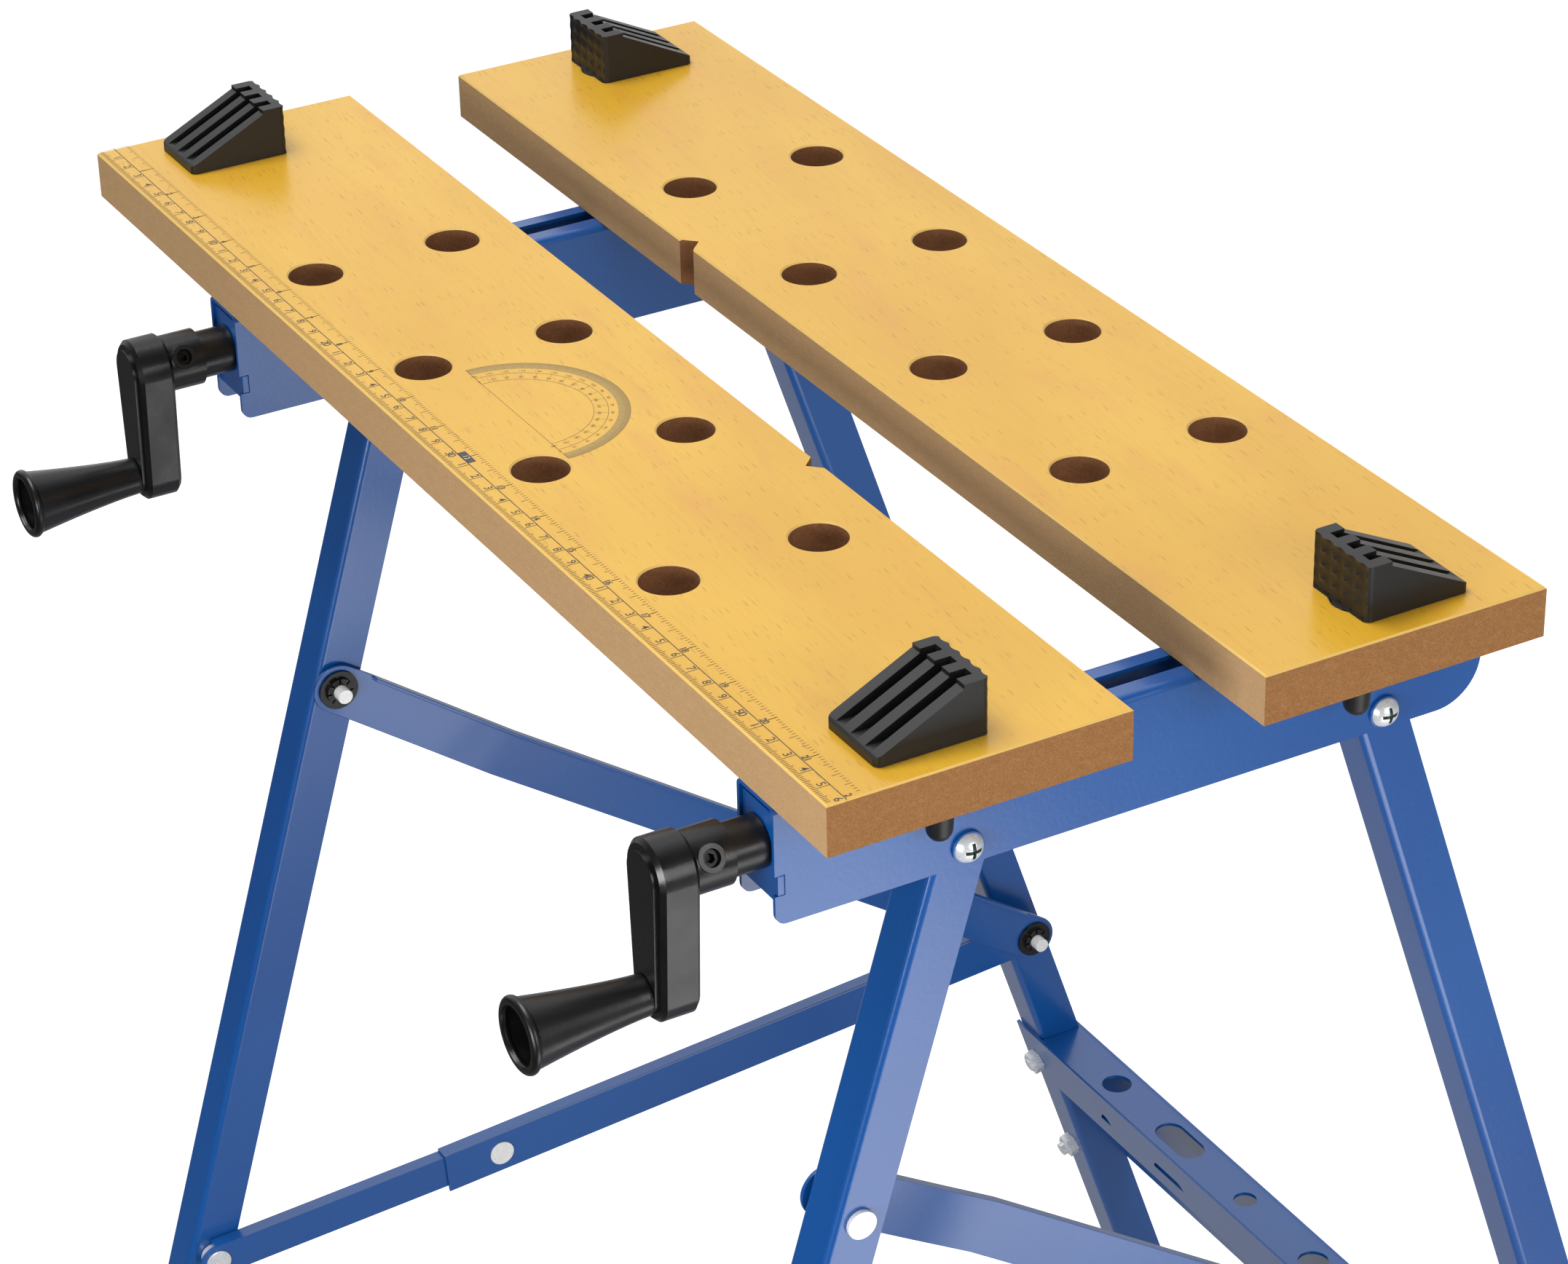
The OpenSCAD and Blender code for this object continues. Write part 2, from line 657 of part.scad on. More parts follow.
module leg(l, side_holes, face_holes) {
    end = l - foot_sole;
    difference() {
        intersection() {
            translate([0, 0, -end]) linear_extrude(end + leg_d) channel(leg_w, leg_d, sheet_t, bend_r);
            across(-leg_w / 2 - cut, leg_w + 2 * cut) {
                circle(d = leg_d);
                translate([-leg_d / 2, -end - cut]) square([leg_d, end + cut]);
            }
        }
        rod([0, 0], -leg_w / 2 - cut, leg_w + 2 * cut, pivot_bush_d + 2 * running_gap);
        for (at = side_holes) rod([0, -at], -leg_w / 2 - cut, leg_w + 2 * cut, rivet_d + 2 * running_gap);
        for (at = face_holes) translate([0, 0, -at]) rotate([90, 0, 0])
            cylinder(d = rack_bolt_d + 2 * running_gap, h = leg_d);
    }
}

module front_leg(side) color(steel_blue) bench() on_side(side) leg_frame(front_pivot, -front_lean)
    leg(front_leg_l, [link_front_at, brace_front_at], [bar_at]);
module rear_leg(side) color(steel_blue) bench() on_side(side) leg_frame(rear_pivot, rear_lean)
    leg(rear_leg_l, [link_rear_at], rack_bolt_at);

module front_leg_left() front_leg(left);
module front_leg_right() front_leg(right);
module rear_leg_left() rear_leg(left);
module rear_leg_right() rear_leg(right);

// Feet: caps over the leg ends, cut flat where they stand
module foot(pivot, lean, l) {
    w = leg_w + 2 * (leg_gap + foot_wall);
    difference() {
        leg_frame(pivot, lean) translate([0, 0, -l - leg_d]) linear_extrude(foot_h + leg_d)
            rounded_rect(w, 2 * foot_half, bend_r + foot_wall);
        leg_frame(pivot, lean) translate([0, 0, -l + foot_sole - leg_gap]) linear_extrude(foot_h) {
            rounded_rect(leg_w + 2 * leg_gap, leg_d + 2 * leg_gap, bend_r + leg_gap);
            translate([-leg_w / 2 - leg_gap, 0]) square([leg_w + 2 * leg_gap, leg_d / 2 + leg_gap]);
        }
        translate([-w, -2 * height, -2 * height]) cube([2 * w, 4 * height, height]);
    }
}

module front_feet() color(black) bench() for (s = SIDES) on_side(s)
    foot(front_pivot, -front_lean, front_leg_l);
module rear_feet() color(black) bench() for (s = SIDES) on_side(s)
    foot(rear_pivot, rear_lean, rear_leg_l);

// Cross bar: a folded strip on the closed faces of the front legs
bar_l = rail_spacing + leg_w;

module front_cross_bar() color(steel_blue) bench() translate([frame_shift, 0, 0])
    leg_frame(front_pivot, -front_lean) difference() {
        translate([-bar_l / 2, -leg_d / 2 - sheet_t, -bar_at]) rotate([90, 0, 90]) linear_extrude(bar_l) {
            translate([0, -bar_h / 2]) square([sheet_t, bar_h]);
            for (z = [-bar_h / 2, bar_h / 2 - sheet_t])
                translate([-bar_lip + sheet_t, z]) square([bar_lip, sheet_t]);
        }
        for (s = SIDES) translate([s * rail_spacing / 2, 0, -bar_at]) rotate([90, 0, 0])
            cylinder(d = rack_bolt_d + 2 * running_gap, h = 2 * leg_d);
    }

module bar_fasteners() for (s = SIDES) on_side(s) leg_frame(front_pivot, -front_lean)
    translate([0, -leg_d / 2, -bar_at]) rotate([90, 0, 0]) children();

module cross_bar_bolts() color(zinc) bench() bar_fasteners() {
    translate([0, 0, -sheet_t - nut[1] - 2]) cylinder(d = rack_bolt_d, h = 2 * sheet_t + nut[1] + 2.5);
    translate([0, 0, sheet_t]) screw_head(bolt_head[0], bolt_head[1]);
}

module cross_bar_nuts() color(zinc) bench() bar_fasteners() translate([0, 0, -sheet_t - nut[1]])
    hex_nut(nut[0], nut[1], rack_bolt_d + 2 * running_gap);

// Tool rack: one folded sheet, with a lip on the front of the rear legs, a level shelf
// between them and a back on their rear faces
rack_l = rail_spacing + leg_w;
shelf_drop = leg_d / 2 * tan(rear_lean);

module rack_holes() {
    hole_y = rear_pivot.x + (rack_drop + pivot_z) * tan(rear_lean);
    for (i = [0:rack_hole_count - 1])
        translate([rail_x(left) + rack_first + i * rack_pitch, hole_y, -rack_drop - leg_d]) {
            if (i % 3 == 0) cylinder(d = rack_hole_d, h = 2 * leg_d);
            if (i % 3 == 1) linear_extrude(2 * leg_d)
                rounded_rect(rack_slot_l, rack_hole_d, rack_hole_d / 2 - 0.01);
            if (i % 3 == 2) cylinder(d = rack_small_hole_d, h = 2 * leg_d);
        }
}

module tool_rack() color(steel_blue) bench() difference() {
    union() {
        translate([frame_shift, 0, 0]) leg_frame(rear_pivot, rear_lean) {
            translate([-rack_l / 2, -leg_d / 2 - sheet_t, -rack_at - rack_lip_h + shelf_drop])
                cube([rack_l, sheet_t, rack_lip_h]);
            translate([-rack_l / 2, leg_d / 2, -rack_at - rack_back_h - shelf_drop])
                cube([rack_l, sheet_t, rack_back_h]);
        }
        intersection() {
            translate([frame_shift, rear_pivot.x, -rack_drop - sheet_t])
                translate([-(rail_spacing - leg_w) / 2 + leg_gap, 0, 0])
                    cube([rail_spacing - leg_w - 2 * leg_gap, rack_drop, sheet_t]);
            translate([frame_shift, 0, 0]) leg_frame(rear_pivot, rear_lean)
                translate([-rack_l / 2, -leg_d / 2 - sheet_t / 2, -rack_at - leg_d])
                    cube([rack_l, leg_d + sheet_t, 2 * leg_d]);
        }
    }
    rack_holes();
    rack_fasteners() translate([0, 0, -2 * leg_d])
        cylinder(d = rack_bolt_d + 2 * running_gap, h = 3 * leg_d);
}

// Local frame of each rack bolt: z = 0 is the leg's front face and +z points forwards
module rack_fasteners() for (s = SIDES, at = rack_bolt_at) on_side(s)
    leg_frame(rear_pivot, rear_lean) translate([0, -leg_d / 2, -at]) rotate([90, 0, 0]) children();

module rack_bolts() color(zinc) bench() rack_fasteners() {
    translate([0, 0, -leg_d - sheet_t]) mirror([0, 0, 1]) screw_head(bolt_head[0], bolt_head[1]);
    translate([0, 0, -leg_d - sheet_t - 0.5])
        cylinder(d = rack_bolt_d, h = leg_d + 2 * sheet_t + nut[1] + 1);
}

module rack_nuts() color(zinc) bench() for (s = SIDES, i = [0, 1]) on_side(s)
    leg_frame(rear_pivot, rear_lean) translate([0, -leg_d / 2, -rack_bolt_at[i]]) rotate([90, 0, 0])
        translate([0, 0, i == 0 ? sheet_t : 0]) hex_nut(nut[0], nut[1] - 0.5, rack_bolt_d + 2 * running_gap);

// Inboard distance w from a leg's inner face, as a local x
function inboard(w) = -leg_w / 2 - w;

// A turned part along the inboard direction, from w0 to w1
module turned(p, w0, w1, d) rod(p, inboard(w1), w1 - w0, d);

// Heads of the rivets on the outside of the front legs
module leg_rivet_head(p) {
    rod(p, leg_w / 2, flat_head_t, flat_head_d);
    rod(p, inboard(0), leg_w + flat_head_t / 2, rivet_d);
}

module link_rivet_heads() color(zinc) bench() for (s = SIDES) on_side(s) leg_rivet_head(link_front);
module brace_rivet_heads() color(zinc) bench() for (s = SIDES) on_side(s) leg_rivet_head(brace_front);

// Rear pivots: one rivet a side through the leg, the brace and the diagonal link
cap_from = link_web + sheet_t + layer_gap;
tip_to = cap_from + cap_t + tip_l;

module rear_rivets() color(zinc) bench() for (s = SIDES) on_side(s) {
    rod(link_rear, leg_w / 2, flat_head_t, flat_head_d);
    rod(link_rear, inboard(tip_to), leg_w + tip_to + flat_head_t / 2, rivet_d);
}

module rear_spacers() color(zinc) bench() for (s = SIDES) on_side(s) difference() {
    turned(link_rear, 0, brace_rear_web - layer_gap, boss_d);
    turned(link_rear, -cut, brace_rear_web + cut, rivet_d + 2 * running_gap);
}

module rear_washers() color(zinc) bench() for (s = SIDES) on_side(s) difference() {
    turned(link_rear, brace_rear_web + brace_t + layer_gap, link_web - layer_gap, boss_d + 2);
    turned(link_rear, brace_rear_web, link_web + cut, rivet_d + 2 * running_gap);
}

// Push-on cap: a round disc, domed in the middle, with a star of short slits
module star_cap(p, from) {
    slits = 8;
    slit_from = rivet_d / 2 + 0.7;
    slit_to = cap_d / 2 - 2;
    difference() {
        union() {
            turned(p, from, from + 1, cap_d);
            turned(p, from, from + cap_t, cap_d - 5);
        }
        for (i = [0:slits - 1]) translate([inboard(from + cap_t), p.x, p.y]) rotate([i * 360 / slits, 0, 0])
            translate([-cut, slit_from, -0.35]) cube([cap_t, slit_to - slit_from, 0.7]);
        turned(p, from - cut, from + cap_t + cut, rivet_d + 2 * running_gap);
    }
}

module rear_caps() color(black) bench() for (s = SIDES) on_side(s) star_cap(link_rear, cap_from);

// Local frame of the diagonal link: x runs from its front pivot to its rear one,
// -y is its upper edge and z is the distance inboard from the legs' inner faces
link_l = norm(link_rear - link_front);
link_unit = (link_rear - link_front) / link_l;

module link_frame() multmatrix([
    [0, 0, -1, inboard(0)],
    [link_unit.x, link_unit.y, 0, link_front.x],
    [link_unit.y, -link_unit.x, 0, link_front.y],
    [0, 0, 0, 1]
]) children();

// Side view of the link, t thick: it lies close to the front leg and steps over the brace
function link_side(x0, x1, t) = [
    [x0, link_near], [link_step[0], link_near], [link_step[1], link_web], [x1, link_web],
    [x1, link_web + t], [link_step[1], link_web + t], [link_step[0], link_near + t],
    [x0, link_near + t]
];

// Diagonal link: a flat bar with a lip turned inboard along its upper edge
module diagonal_link() link_frame() difference() {
    union() {
        intersection() {
            rotate([90, 0, 0]) linear_extrude(link_w + 2 * cut, center = true)
                polygon(link_side(-link_w, link_l + link_w, sheet_t));
            linear_extrude(2 * link_web) strip([0, 0], [link_l, 0], link_w);
        }
        translate([0, sheet_t - link_w / 2, 0]) rotate([90, 0, 0]) linear_extrude(sheet_t)
            polygon(link_side(link_w * 0.6, link_l - link_w * 0.6, sheet_t + link_lip));
    }
    for (x = [0, link_l]) translate([x, 0, 0])
        cylinder(d = rivet_d + 2 * running_gap, h = 2 * link_web);
}

module diagonal_link_left() color(steel_blue) bench() on_side(left) diagonal_link();
module diagonal_link_right() color(steel_blue) bench() on_side(right) diagonal_link();

// Shouldered pin at the link's front end. It stops just short of the leg.
near_cap_from = link_near + sheet_t + layer_gap;

module link_pin() {
    turned(link_front, open_gap, link_near - layer_gap, boss_d);
    turned(link_front, open_gap, near_cap_from + cap_t + tip_l, rivet_d);
}

module link_pin_left() color(zinc) bench() on_side(left) link_pin();
module link_pin_right() color(zinc) bench() on_side(right) link_pin();
module link_cap_left() color(black) bench() on_side(left) star_cap(link_front, near_cap_from);
module link_cap_right() color(black) bench() on_side(right) star_cap(link_front, near_cap_from);

// Folding brace. Each half has its web inboard and flanges that point to the leg.
module brace_rear() {
    end = knee + (knee - link_rear) * knee_overlap / norm(knee - link_rear);
    l = norm(link_rear - end);
    difference() {
        union() {
            across(inboard(brace_rear_web + brace_t), brace_t) along(end, link_rear) {
                translate([0, -brace_rear_h / 2]) square([l, brace_rear_h]);
                translate([l, 0]) circle(d = brace_rear_h);
            }
            across(inboard(brace_rear_web + brace_t), brace_rear_web + brace_t - flange_from)
                along(end, link_rear)
                    translate([0, brace_rear_h / 2 - brace_t]) square([l - brace_rear_h, brace_t]);
        }
        for (p = [knee, link_rear])
            turned(p, brace_rear_web - cut, brace_rear_web + brace_t + cut, rivet_d + 2 * running_gap);
    }
}

module brace_front_half() {
    l = norm(knee - brace_front);
    difference() {
        union() {
            across(inboard(brace_front_web + brace_t), brace_t) strip(brace_front, knee, brace_h);
            across(inboard(brace_front_web + brace_t), brace_front_web + brace_t - flange_from)
                along(brace_front, knee)
                    for (v = [-brace_h / 2, brace_h / 2 - brace_t])
                        translate([0, v]) square([l, brace_t]);
        }
        for (p = [brace_front, knee])
            turned(p, brace_front_web - cut, brace_front_web + brace_t + cut, rivet_d + 2 * running_gap);
    }
}

module brace_rear_left() color(steel_blue) bench() on_side(left) brace_rear();
module brace_rear_right() color(steel_blue) bench() on_side(right) brace_rear();
module brace_front_left() color(steel_blue) bench() on_side(left) brace_front_half();
module brace_front_right() color(steel_blue) bench() on_side(right) brace_front_half();

// Rivet of the knee, with a flat head each side
module knee_rivet() {
    outer = brace_front_web - layer_gap;
    inner = brace_rear_web + brace_t + running_gap;
    turned(knee, outer - 1, inner + knee_head_t - running_gap, rivet_d);
    turned(knee, outer - 1.2, outer, flat_head_d);
    turned(knee, inner, inner + knee_head_t - running_gap, flat_head_d);
}

module knee_rivet_left() color(zinc) bench() on_side(left) knee_rivet();
module knee_rivet_right() color(zinc) bench() on_side(right) knee_rivet();

// Shouldered pin at the brace's front end. It stops just short of the leg.
module brace_pin() {
    inner = brace_front_web + brace_t + running_gap;
    turned(brace_front, open_gap, brace_front_web - running_gap, boss_d);
    turned(brace_front, open_gap, inner + 1, rivet_d);
    turned(brace_front, inner, inner + 1, flat_head_d);
}

module brace_pin_left() color(zinc) bench() on_side(left) brace_pin();
module brace_pin_right() color(zinc) bench() on_side(right) brace_pin();

// Bench dog, drawn round its stem with the nose at -y and the gripping face at +y
module dog() {
    nose_y = dog_face_y - dog_l;
    top_y = dog_face_y - dog_top_l;
    step = 1.5;
    slot_into = 5.5;
    scallop_r = 4.4;
    scallop_off = 3.6;
    scallop_from = 0.5;
    difference() {
        union() {
            intersection() {
                across(-dog_w / 2, dog_w) polygon([
                    [nose_y, 0], [dog_face_y, 0], [dog_face_y, dog_h], [top_y, dog_h],
                    [top_y, dog_h - step], [nose_y + 1, dog_nose_h], [nose_y, dog_nose_h - 1]
                ]);
                translate([0, (nose_y + dog_face_y) / 2, 0]) linear_extrude(dog_h)
                    rounded_rect(dog_w, dog_l, 2.5);
            }
            translate([0, 0, -board_t - slide_gap]) cylinder(d = dog_stem_d, h = board_t + slide_gap + cut);
            translate([0, 0, -board_t - slide_gap - dog_tip_l])
                cylinder(d1 = dog_tip_d[1], d2 = dog_tip_d[0], h = dog_tip_l + cut);
            translate([0, 0, -board_t - slide_gap - dog_tip_l]) intersection() {
                sphere(d = dog_tip_d[1]);
                translate([0, 0, -2]) cube([dog_tip_d[0], dog_tip_d[0], 4], center = true);
            }
        }
        for (i = [0:dog_ribs - 2])
            translate([-dog_w / 2 + dog_rib_w + i * dog_cell, nose_y - cut, dog_nose_h])
                cube([dog_cell - dog_rib_w, top_y + slot_into - nose_y + cut, dog_h]);
        for (i = [-2:2]) translate([i * dog_w / 5, dog_face_y + scallop_off, scallop_from])
            cylinder(r = scallop_r, h = dog_h);
        for (i = [0.5:1:3.5]) translate([0, dog_face_y + scallop_off, i * dog_h / 4]) rotate([0, 90, 0])
            cylinder(r = scallop_r, h = dog_w + 2 * cut, center = true);
    }
}

module dog_at(board, x_side, turned_round) color(black) bench()
    translate([board_x[board] + x_side * (board_l / 2 - dog_end_inset),
        board == 0 ? board_w / 2 : carrier_y, slide_gap])
        rotate(turned_round ? 180 : 0) dog();

module dog_front_left() dog_at(0, left, false);
module dog_front_right() dog_at(0, right, false);
module dog_rear_left() dog_at(1, left, true);
module dog_rear_right() dog_at(1, right, true);

front_jaw_board();
rear_jaw_board();
rail_left();
rail_right();
front_end_plates();
rear_end_plates();
front_jaw_screws();
rear_jaw_screws();
jaw_carrier_left();
jaw_carrier_right();
spindle_left();
spindle_right();
crank_left();
crank_right();
crank_pin_left();
crank_pin_right();
grip_left();
grip_right();
leg_pivot_bolts();
leg_pivot_washers();
leg_pivot_nuts();
leg_pivot_bushes();
front_leg_left();
front_leg_right();
rear_leg_left();
rear_leg_right();
front_feet();
rear_feet();
front_cross_bar();
cross_bar_bolts();
cross_bar_nuts();
tool_rack();
rack_bolts();
rack_nuts();
link_rivet_heads();
brace_rivet_heads();
rear_rivets();
rear_spacers();
rear_washers();
rear_caps();
diagonal_link_left();
diagonal_link_right();
link_pin_left();
link_pin_right();
link_cap_left();
link_cap_right();
brace_rear_left();
brace_rear_right();
brace_front_left();
brace_front_right();
knee_rivet_left();
knee_rivet_right();
brace_pin_left();
brace_pin_right();
dog_front_left();
dog_front_right();
dog_rear_left();
dog_rear_right();
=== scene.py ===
import json
import math

import bmesh
import bpy
from mathutils import Euler, Matrix, Vector

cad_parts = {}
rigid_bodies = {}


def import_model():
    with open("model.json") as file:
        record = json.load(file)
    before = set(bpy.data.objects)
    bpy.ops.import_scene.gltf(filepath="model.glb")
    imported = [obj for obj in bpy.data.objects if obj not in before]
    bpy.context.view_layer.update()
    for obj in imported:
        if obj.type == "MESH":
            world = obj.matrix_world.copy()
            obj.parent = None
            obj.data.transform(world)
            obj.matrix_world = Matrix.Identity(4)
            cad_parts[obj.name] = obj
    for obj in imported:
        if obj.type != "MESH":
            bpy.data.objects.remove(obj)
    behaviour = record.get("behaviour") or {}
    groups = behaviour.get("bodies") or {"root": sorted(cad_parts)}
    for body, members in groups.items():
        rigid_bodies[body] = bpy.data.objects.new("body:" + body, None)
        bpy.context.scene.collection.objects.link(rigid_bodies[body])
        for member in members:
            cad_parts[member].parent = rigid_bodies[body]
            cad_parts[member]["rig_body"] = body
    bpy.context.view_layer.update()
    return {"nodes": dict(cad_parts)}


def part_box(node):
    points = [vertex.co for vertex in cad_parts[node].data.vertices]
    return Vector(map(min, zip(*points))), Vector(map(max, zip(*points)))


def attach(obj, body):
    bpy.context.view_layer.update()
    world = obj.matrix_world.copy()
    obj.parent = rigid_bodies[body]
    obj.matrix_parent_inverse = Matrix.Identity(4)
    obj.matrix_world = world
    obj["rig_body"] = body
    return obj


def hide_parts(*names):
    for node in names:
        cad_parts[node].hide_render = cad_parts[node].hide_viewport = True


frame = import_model()
MM = 0.001
scene = bpy.context.scene


# Camera and studio. The bench stands on a plain white floor, in soft light from all
# round. A large lamp hangs high on the left, and three small ones stand in front, on the
# right, and low on the right, where the faces that look to the right mirror it.
scene.view_settings.view_transform = "Standard"

# The camera was fitted to the printed ruler and to the edges of both boards
camera_data = bpy.data.cameras.new("camera")
camera_data.lens = 105.741
camera_data.sensor_width = 36
camera_data.clip_end = 50
camera = bpy.data.objects.new("camera", camera_data)
camera.location = (1.27317, -0.72135, 1.48461)
camera.rotation_euler = Euler([math.radians(a) for a in (60.5218, 1.1670, 60.4504)])
scene.collection.objects.link(camera)
scene.camera = camera


def add_node(tree, kind, sockets=None, **settings):
    """A node with its settings made; a socket given here is linked, a value is set."""
    made = tree.nodes.new(kind)
    for key, value in settings.items():
        setattr(made, key, value)
    for key, value in (sockets or {}).items():
        if isinstance(value, bpy.types.NodeSocket):
            tree.links.new(value, made.inputs[key])
        else:
            made.inputs[key].default_value = value
    return made


def by_ray(tree, fallen, mirrored, seen):
    """Mixes three shaders: for light that falls on things, mirror images, and the camera."""
    path = add_node(tree, "ShaderNodeLightPath").outputs
    indirect = add_node(tree, "ShaderNodeMixShader", {0: path["Is Glossy Ray"],
                        1: fallen.outputs[0], 2: mirrored.outputs[0]})
    return add_node(tree, "ShaderNodeMixShader", {0: path["Is Camera Ray"],
                    1: indirect.outputs[0], 2: seen.outputs[0]}).outputs[0]


# What the glossy surfaces mirror is a dim room with one bright wall behind the bench
wall_way = (-0.76, 0.43, 0.49)
wall_from, wall_full = 0.35, 0.85
room_glow, wall_glow = 0.13, 1.1
world = bpy.data.worlds.new("studio")
world.use_nodes = True
scene.world = world
sky = world.node_tree
sky.nodes.clear()
white = add_node(sky, "ShaderNodeBackground", {"Color": (1, 1, 1, 1), "Strength": 1.0})
fill = add_node(sky, "ShaderNodeBackground", {"Color": (0.93, 0.96, 1, 1), "Strength": 0.3})
to_wall = add_node(sky, "ShaderNodeVectorMath",
                   {0: add_node(sky, "ShaderNodeTexCoord").outputs["Generated"],
                    1: wall_way}, operation="DOT_PRODUCT").outputs["Value"]
wall = add_node(sky, "ShaderNodeMapRange", {"Value": to_wall, "From Min": wall_from,
                "From Max": wall_full, "To Min": room_glow, "To Max": wall_glow}).outputs[0]
room = add_node(sky, "ShaderNodeBackground", {"Color": (1, 1, 1, 1), "Strength": wall})
add_node(sky, "ShaderNodeOutputWorld", {"Surface": by_ray(sky, fill, room, white)})


def add_lamp(name, place, target, size, power):
    """A rectangular lamp that lights the scene but isn't seen; its power is in watts."""
    lamp_data = bpy.data.lights.new(name, "AREA")
    lamp_data.shape = "RECTANGLE"
    lamp_data.size, lamp_data.size_y = size
    lamp_data.energy = power
    lamp = bpy.data.objects.new(name, lamp_data)
    lamp.location = place
    lamp.visible_camera = False
    lamp.rotation_euler = (Vector(target) - Vector(place)).to_track_quat("-Z", "Y").to_euler()
    scene.collection.objects.link(lamp)


middle = (0, 0, 0.5)
add_lamp("key", (-0.4, -0.6, 3.0), middle, (1.6, 1.6), 50)
add_lamp("front", (0.62, -1.0, 0.8), (0.2, -0.1, 0.7), (0.4, 0.4), 7)
add_lamp("low", (1.12, 0.06, 0.03), (1.12, 0.061, 1), (0.85, 0.85), 6.5)
add_lamp("side", (1.5, 0.15, 1.1), middle, (0.7, 0.7), 8)

floor_half = 6
floor_z = -0.5 * MM
floor_mesh = bpy.data.meshes.new("floor")
floor_mesh.from_pydata([(x * floor_half, y * floor_half, floor_z)
                        for x, y in ((-1, -1), (1, -1), (1, 1), (-1, 1))], [], [(0, 1, 2, 3)])
floor = bpy.data.objects.new("floor", floor_mesh)
scene.collection.objects.link(floor)
floor_paper = bpy.data.materials.new("floor_paper")
floor_paper.use_nodes = True
paper = floor_paper.node_tree
paper.nodes.clear()
matte = add_node(paper, "ShaderNodeBsdfDiffuse", {"Color": (0.5, 0.5, 0.5, 1)})
# Mirrored in the steel, the floor is dark in front of the bench and lighter behind it
dark_from_y, light_from_y = -0.8, 0.1
dark_floor, light_floor = 0.05, 0.4
along_y = add_node(paper, "ShaderNodeSeparateXYZ",
                   {0: add_node(paper, "ShaderNodeTexCoord").outputs["Object"]}).outputs["Y"]
under = add_node(paper, "ShaderNodeMapRange", {"Value": along_y, "From Min": dark_from_y,
                 "From Max": light_from_y, "To Min": dark_floor,
                 "To Max": light_floor}).outputs[0]
shade = add_node(paper, "ShaderNodeEmission", {"Color": (1, 1, 1, 1), "Strength": under})
# The camera sees a white that the lamps complete, so that the bench's shadow stays on it
seen_floor = 0.86
glow = add_node(paper, "ShaderNodeEmission", {"Color": (1, 1, 1, 1), "Strength": seen_floor})
lit_white = add_node(paper, "ShaderNodeAddShader", {0: glow.outputs[0], 1: matte.outputs[0]})
add_node(paper, "ShaderNodeOutputMaterial", {"Surface": by_ray(paper, matte, shade, lit_white)})
floor_mesh.materials.append(floor_paper)


# Jaw boards. Fibreboard with a printed beech film on top: the film's chamfered rim is paler,
# a painted highlight along its edges, and the fibreboard shows at the sides and in the holes,
# painted paler on the long sides and darker at the ends and in the holes, as light and shade.
# The front board is screwed to the rails, and the rear one to the carriers that slide in them.
def srgb(red, green, blue):
    """Linear colour of a colour as it is seen on the screen, from 0 to 255."""
    shares = [v / 255 for v in (red, green, blue)]
    return tuple(s / 12.92 if s <= 0.04045 else ((s + 0.055) / 1.055) ** 2.4
                 for s in shares) + (1,)


def new_material(name, color, roughness):
    """A material with its tree, its shader node and its Object coordinates."""
    material = bpy.data.materials.new(name)
    material.use_nodes = True
    tree = material.node_tree
    shader = tree.nodes["Principled BSDF"]
    shader.inputs["Base Color"].default_value = color
    shader.inputs["Roughness"].default_value = roughness
    material.diffuse_color = color
    return material, tree, shader, add_node(tree, "ShaderNodeTexCoord").outputs["Object"]


def stretched(tree, coordinates, scale, place=(0, 0, 0)):
    """Coordinates for a pattern that is longer one way; the scale is in repeats per metre."""
    return add_node(tree, "ShaderNodeMapping", {"Vector": coordinates, "Scale": scale,
                    "Location": place}).outputs[0]


def noise(tree, coordinates, scale, detail=2.0, roughness=0.5):
    return add_node(tree, "ShaderNodeTexNoise", {"Vector": coordinates, "Scale": scale,
                    "Detail": detail, "Roughness": roughness}).outputs["Fac"]


def ranged(tree, value, low, high, to_low=0.0, to_high=1.0):
    return add_node(tree, "ShaderNodeMapRange", {"Value": value, "From Min": low, "From Max": high,
                    "To Min": to_low, "To Max": to_high}).outputs[0]


def mixed(tree, factor, first, second):
    """Colour mix. The sockets of the mix node are taken by place, as several share a name."""
    mix = add_node(tree, "ShaderNodeMix", {0: factor, 6: first, 7: second}, data_type="RGBA")
    return mix.outputs[2]


def bumped(tree, shader, height, depth):
    """Fine relief in the surface, at most as deep as given."""
    bump = add_node(tree, "ShaderNodeBump", {"Height": height, "Distance": depth,
                    "Strength": 1.0})
    tree.links.new(bump.outputs[0], shader.inputs["Normal"])


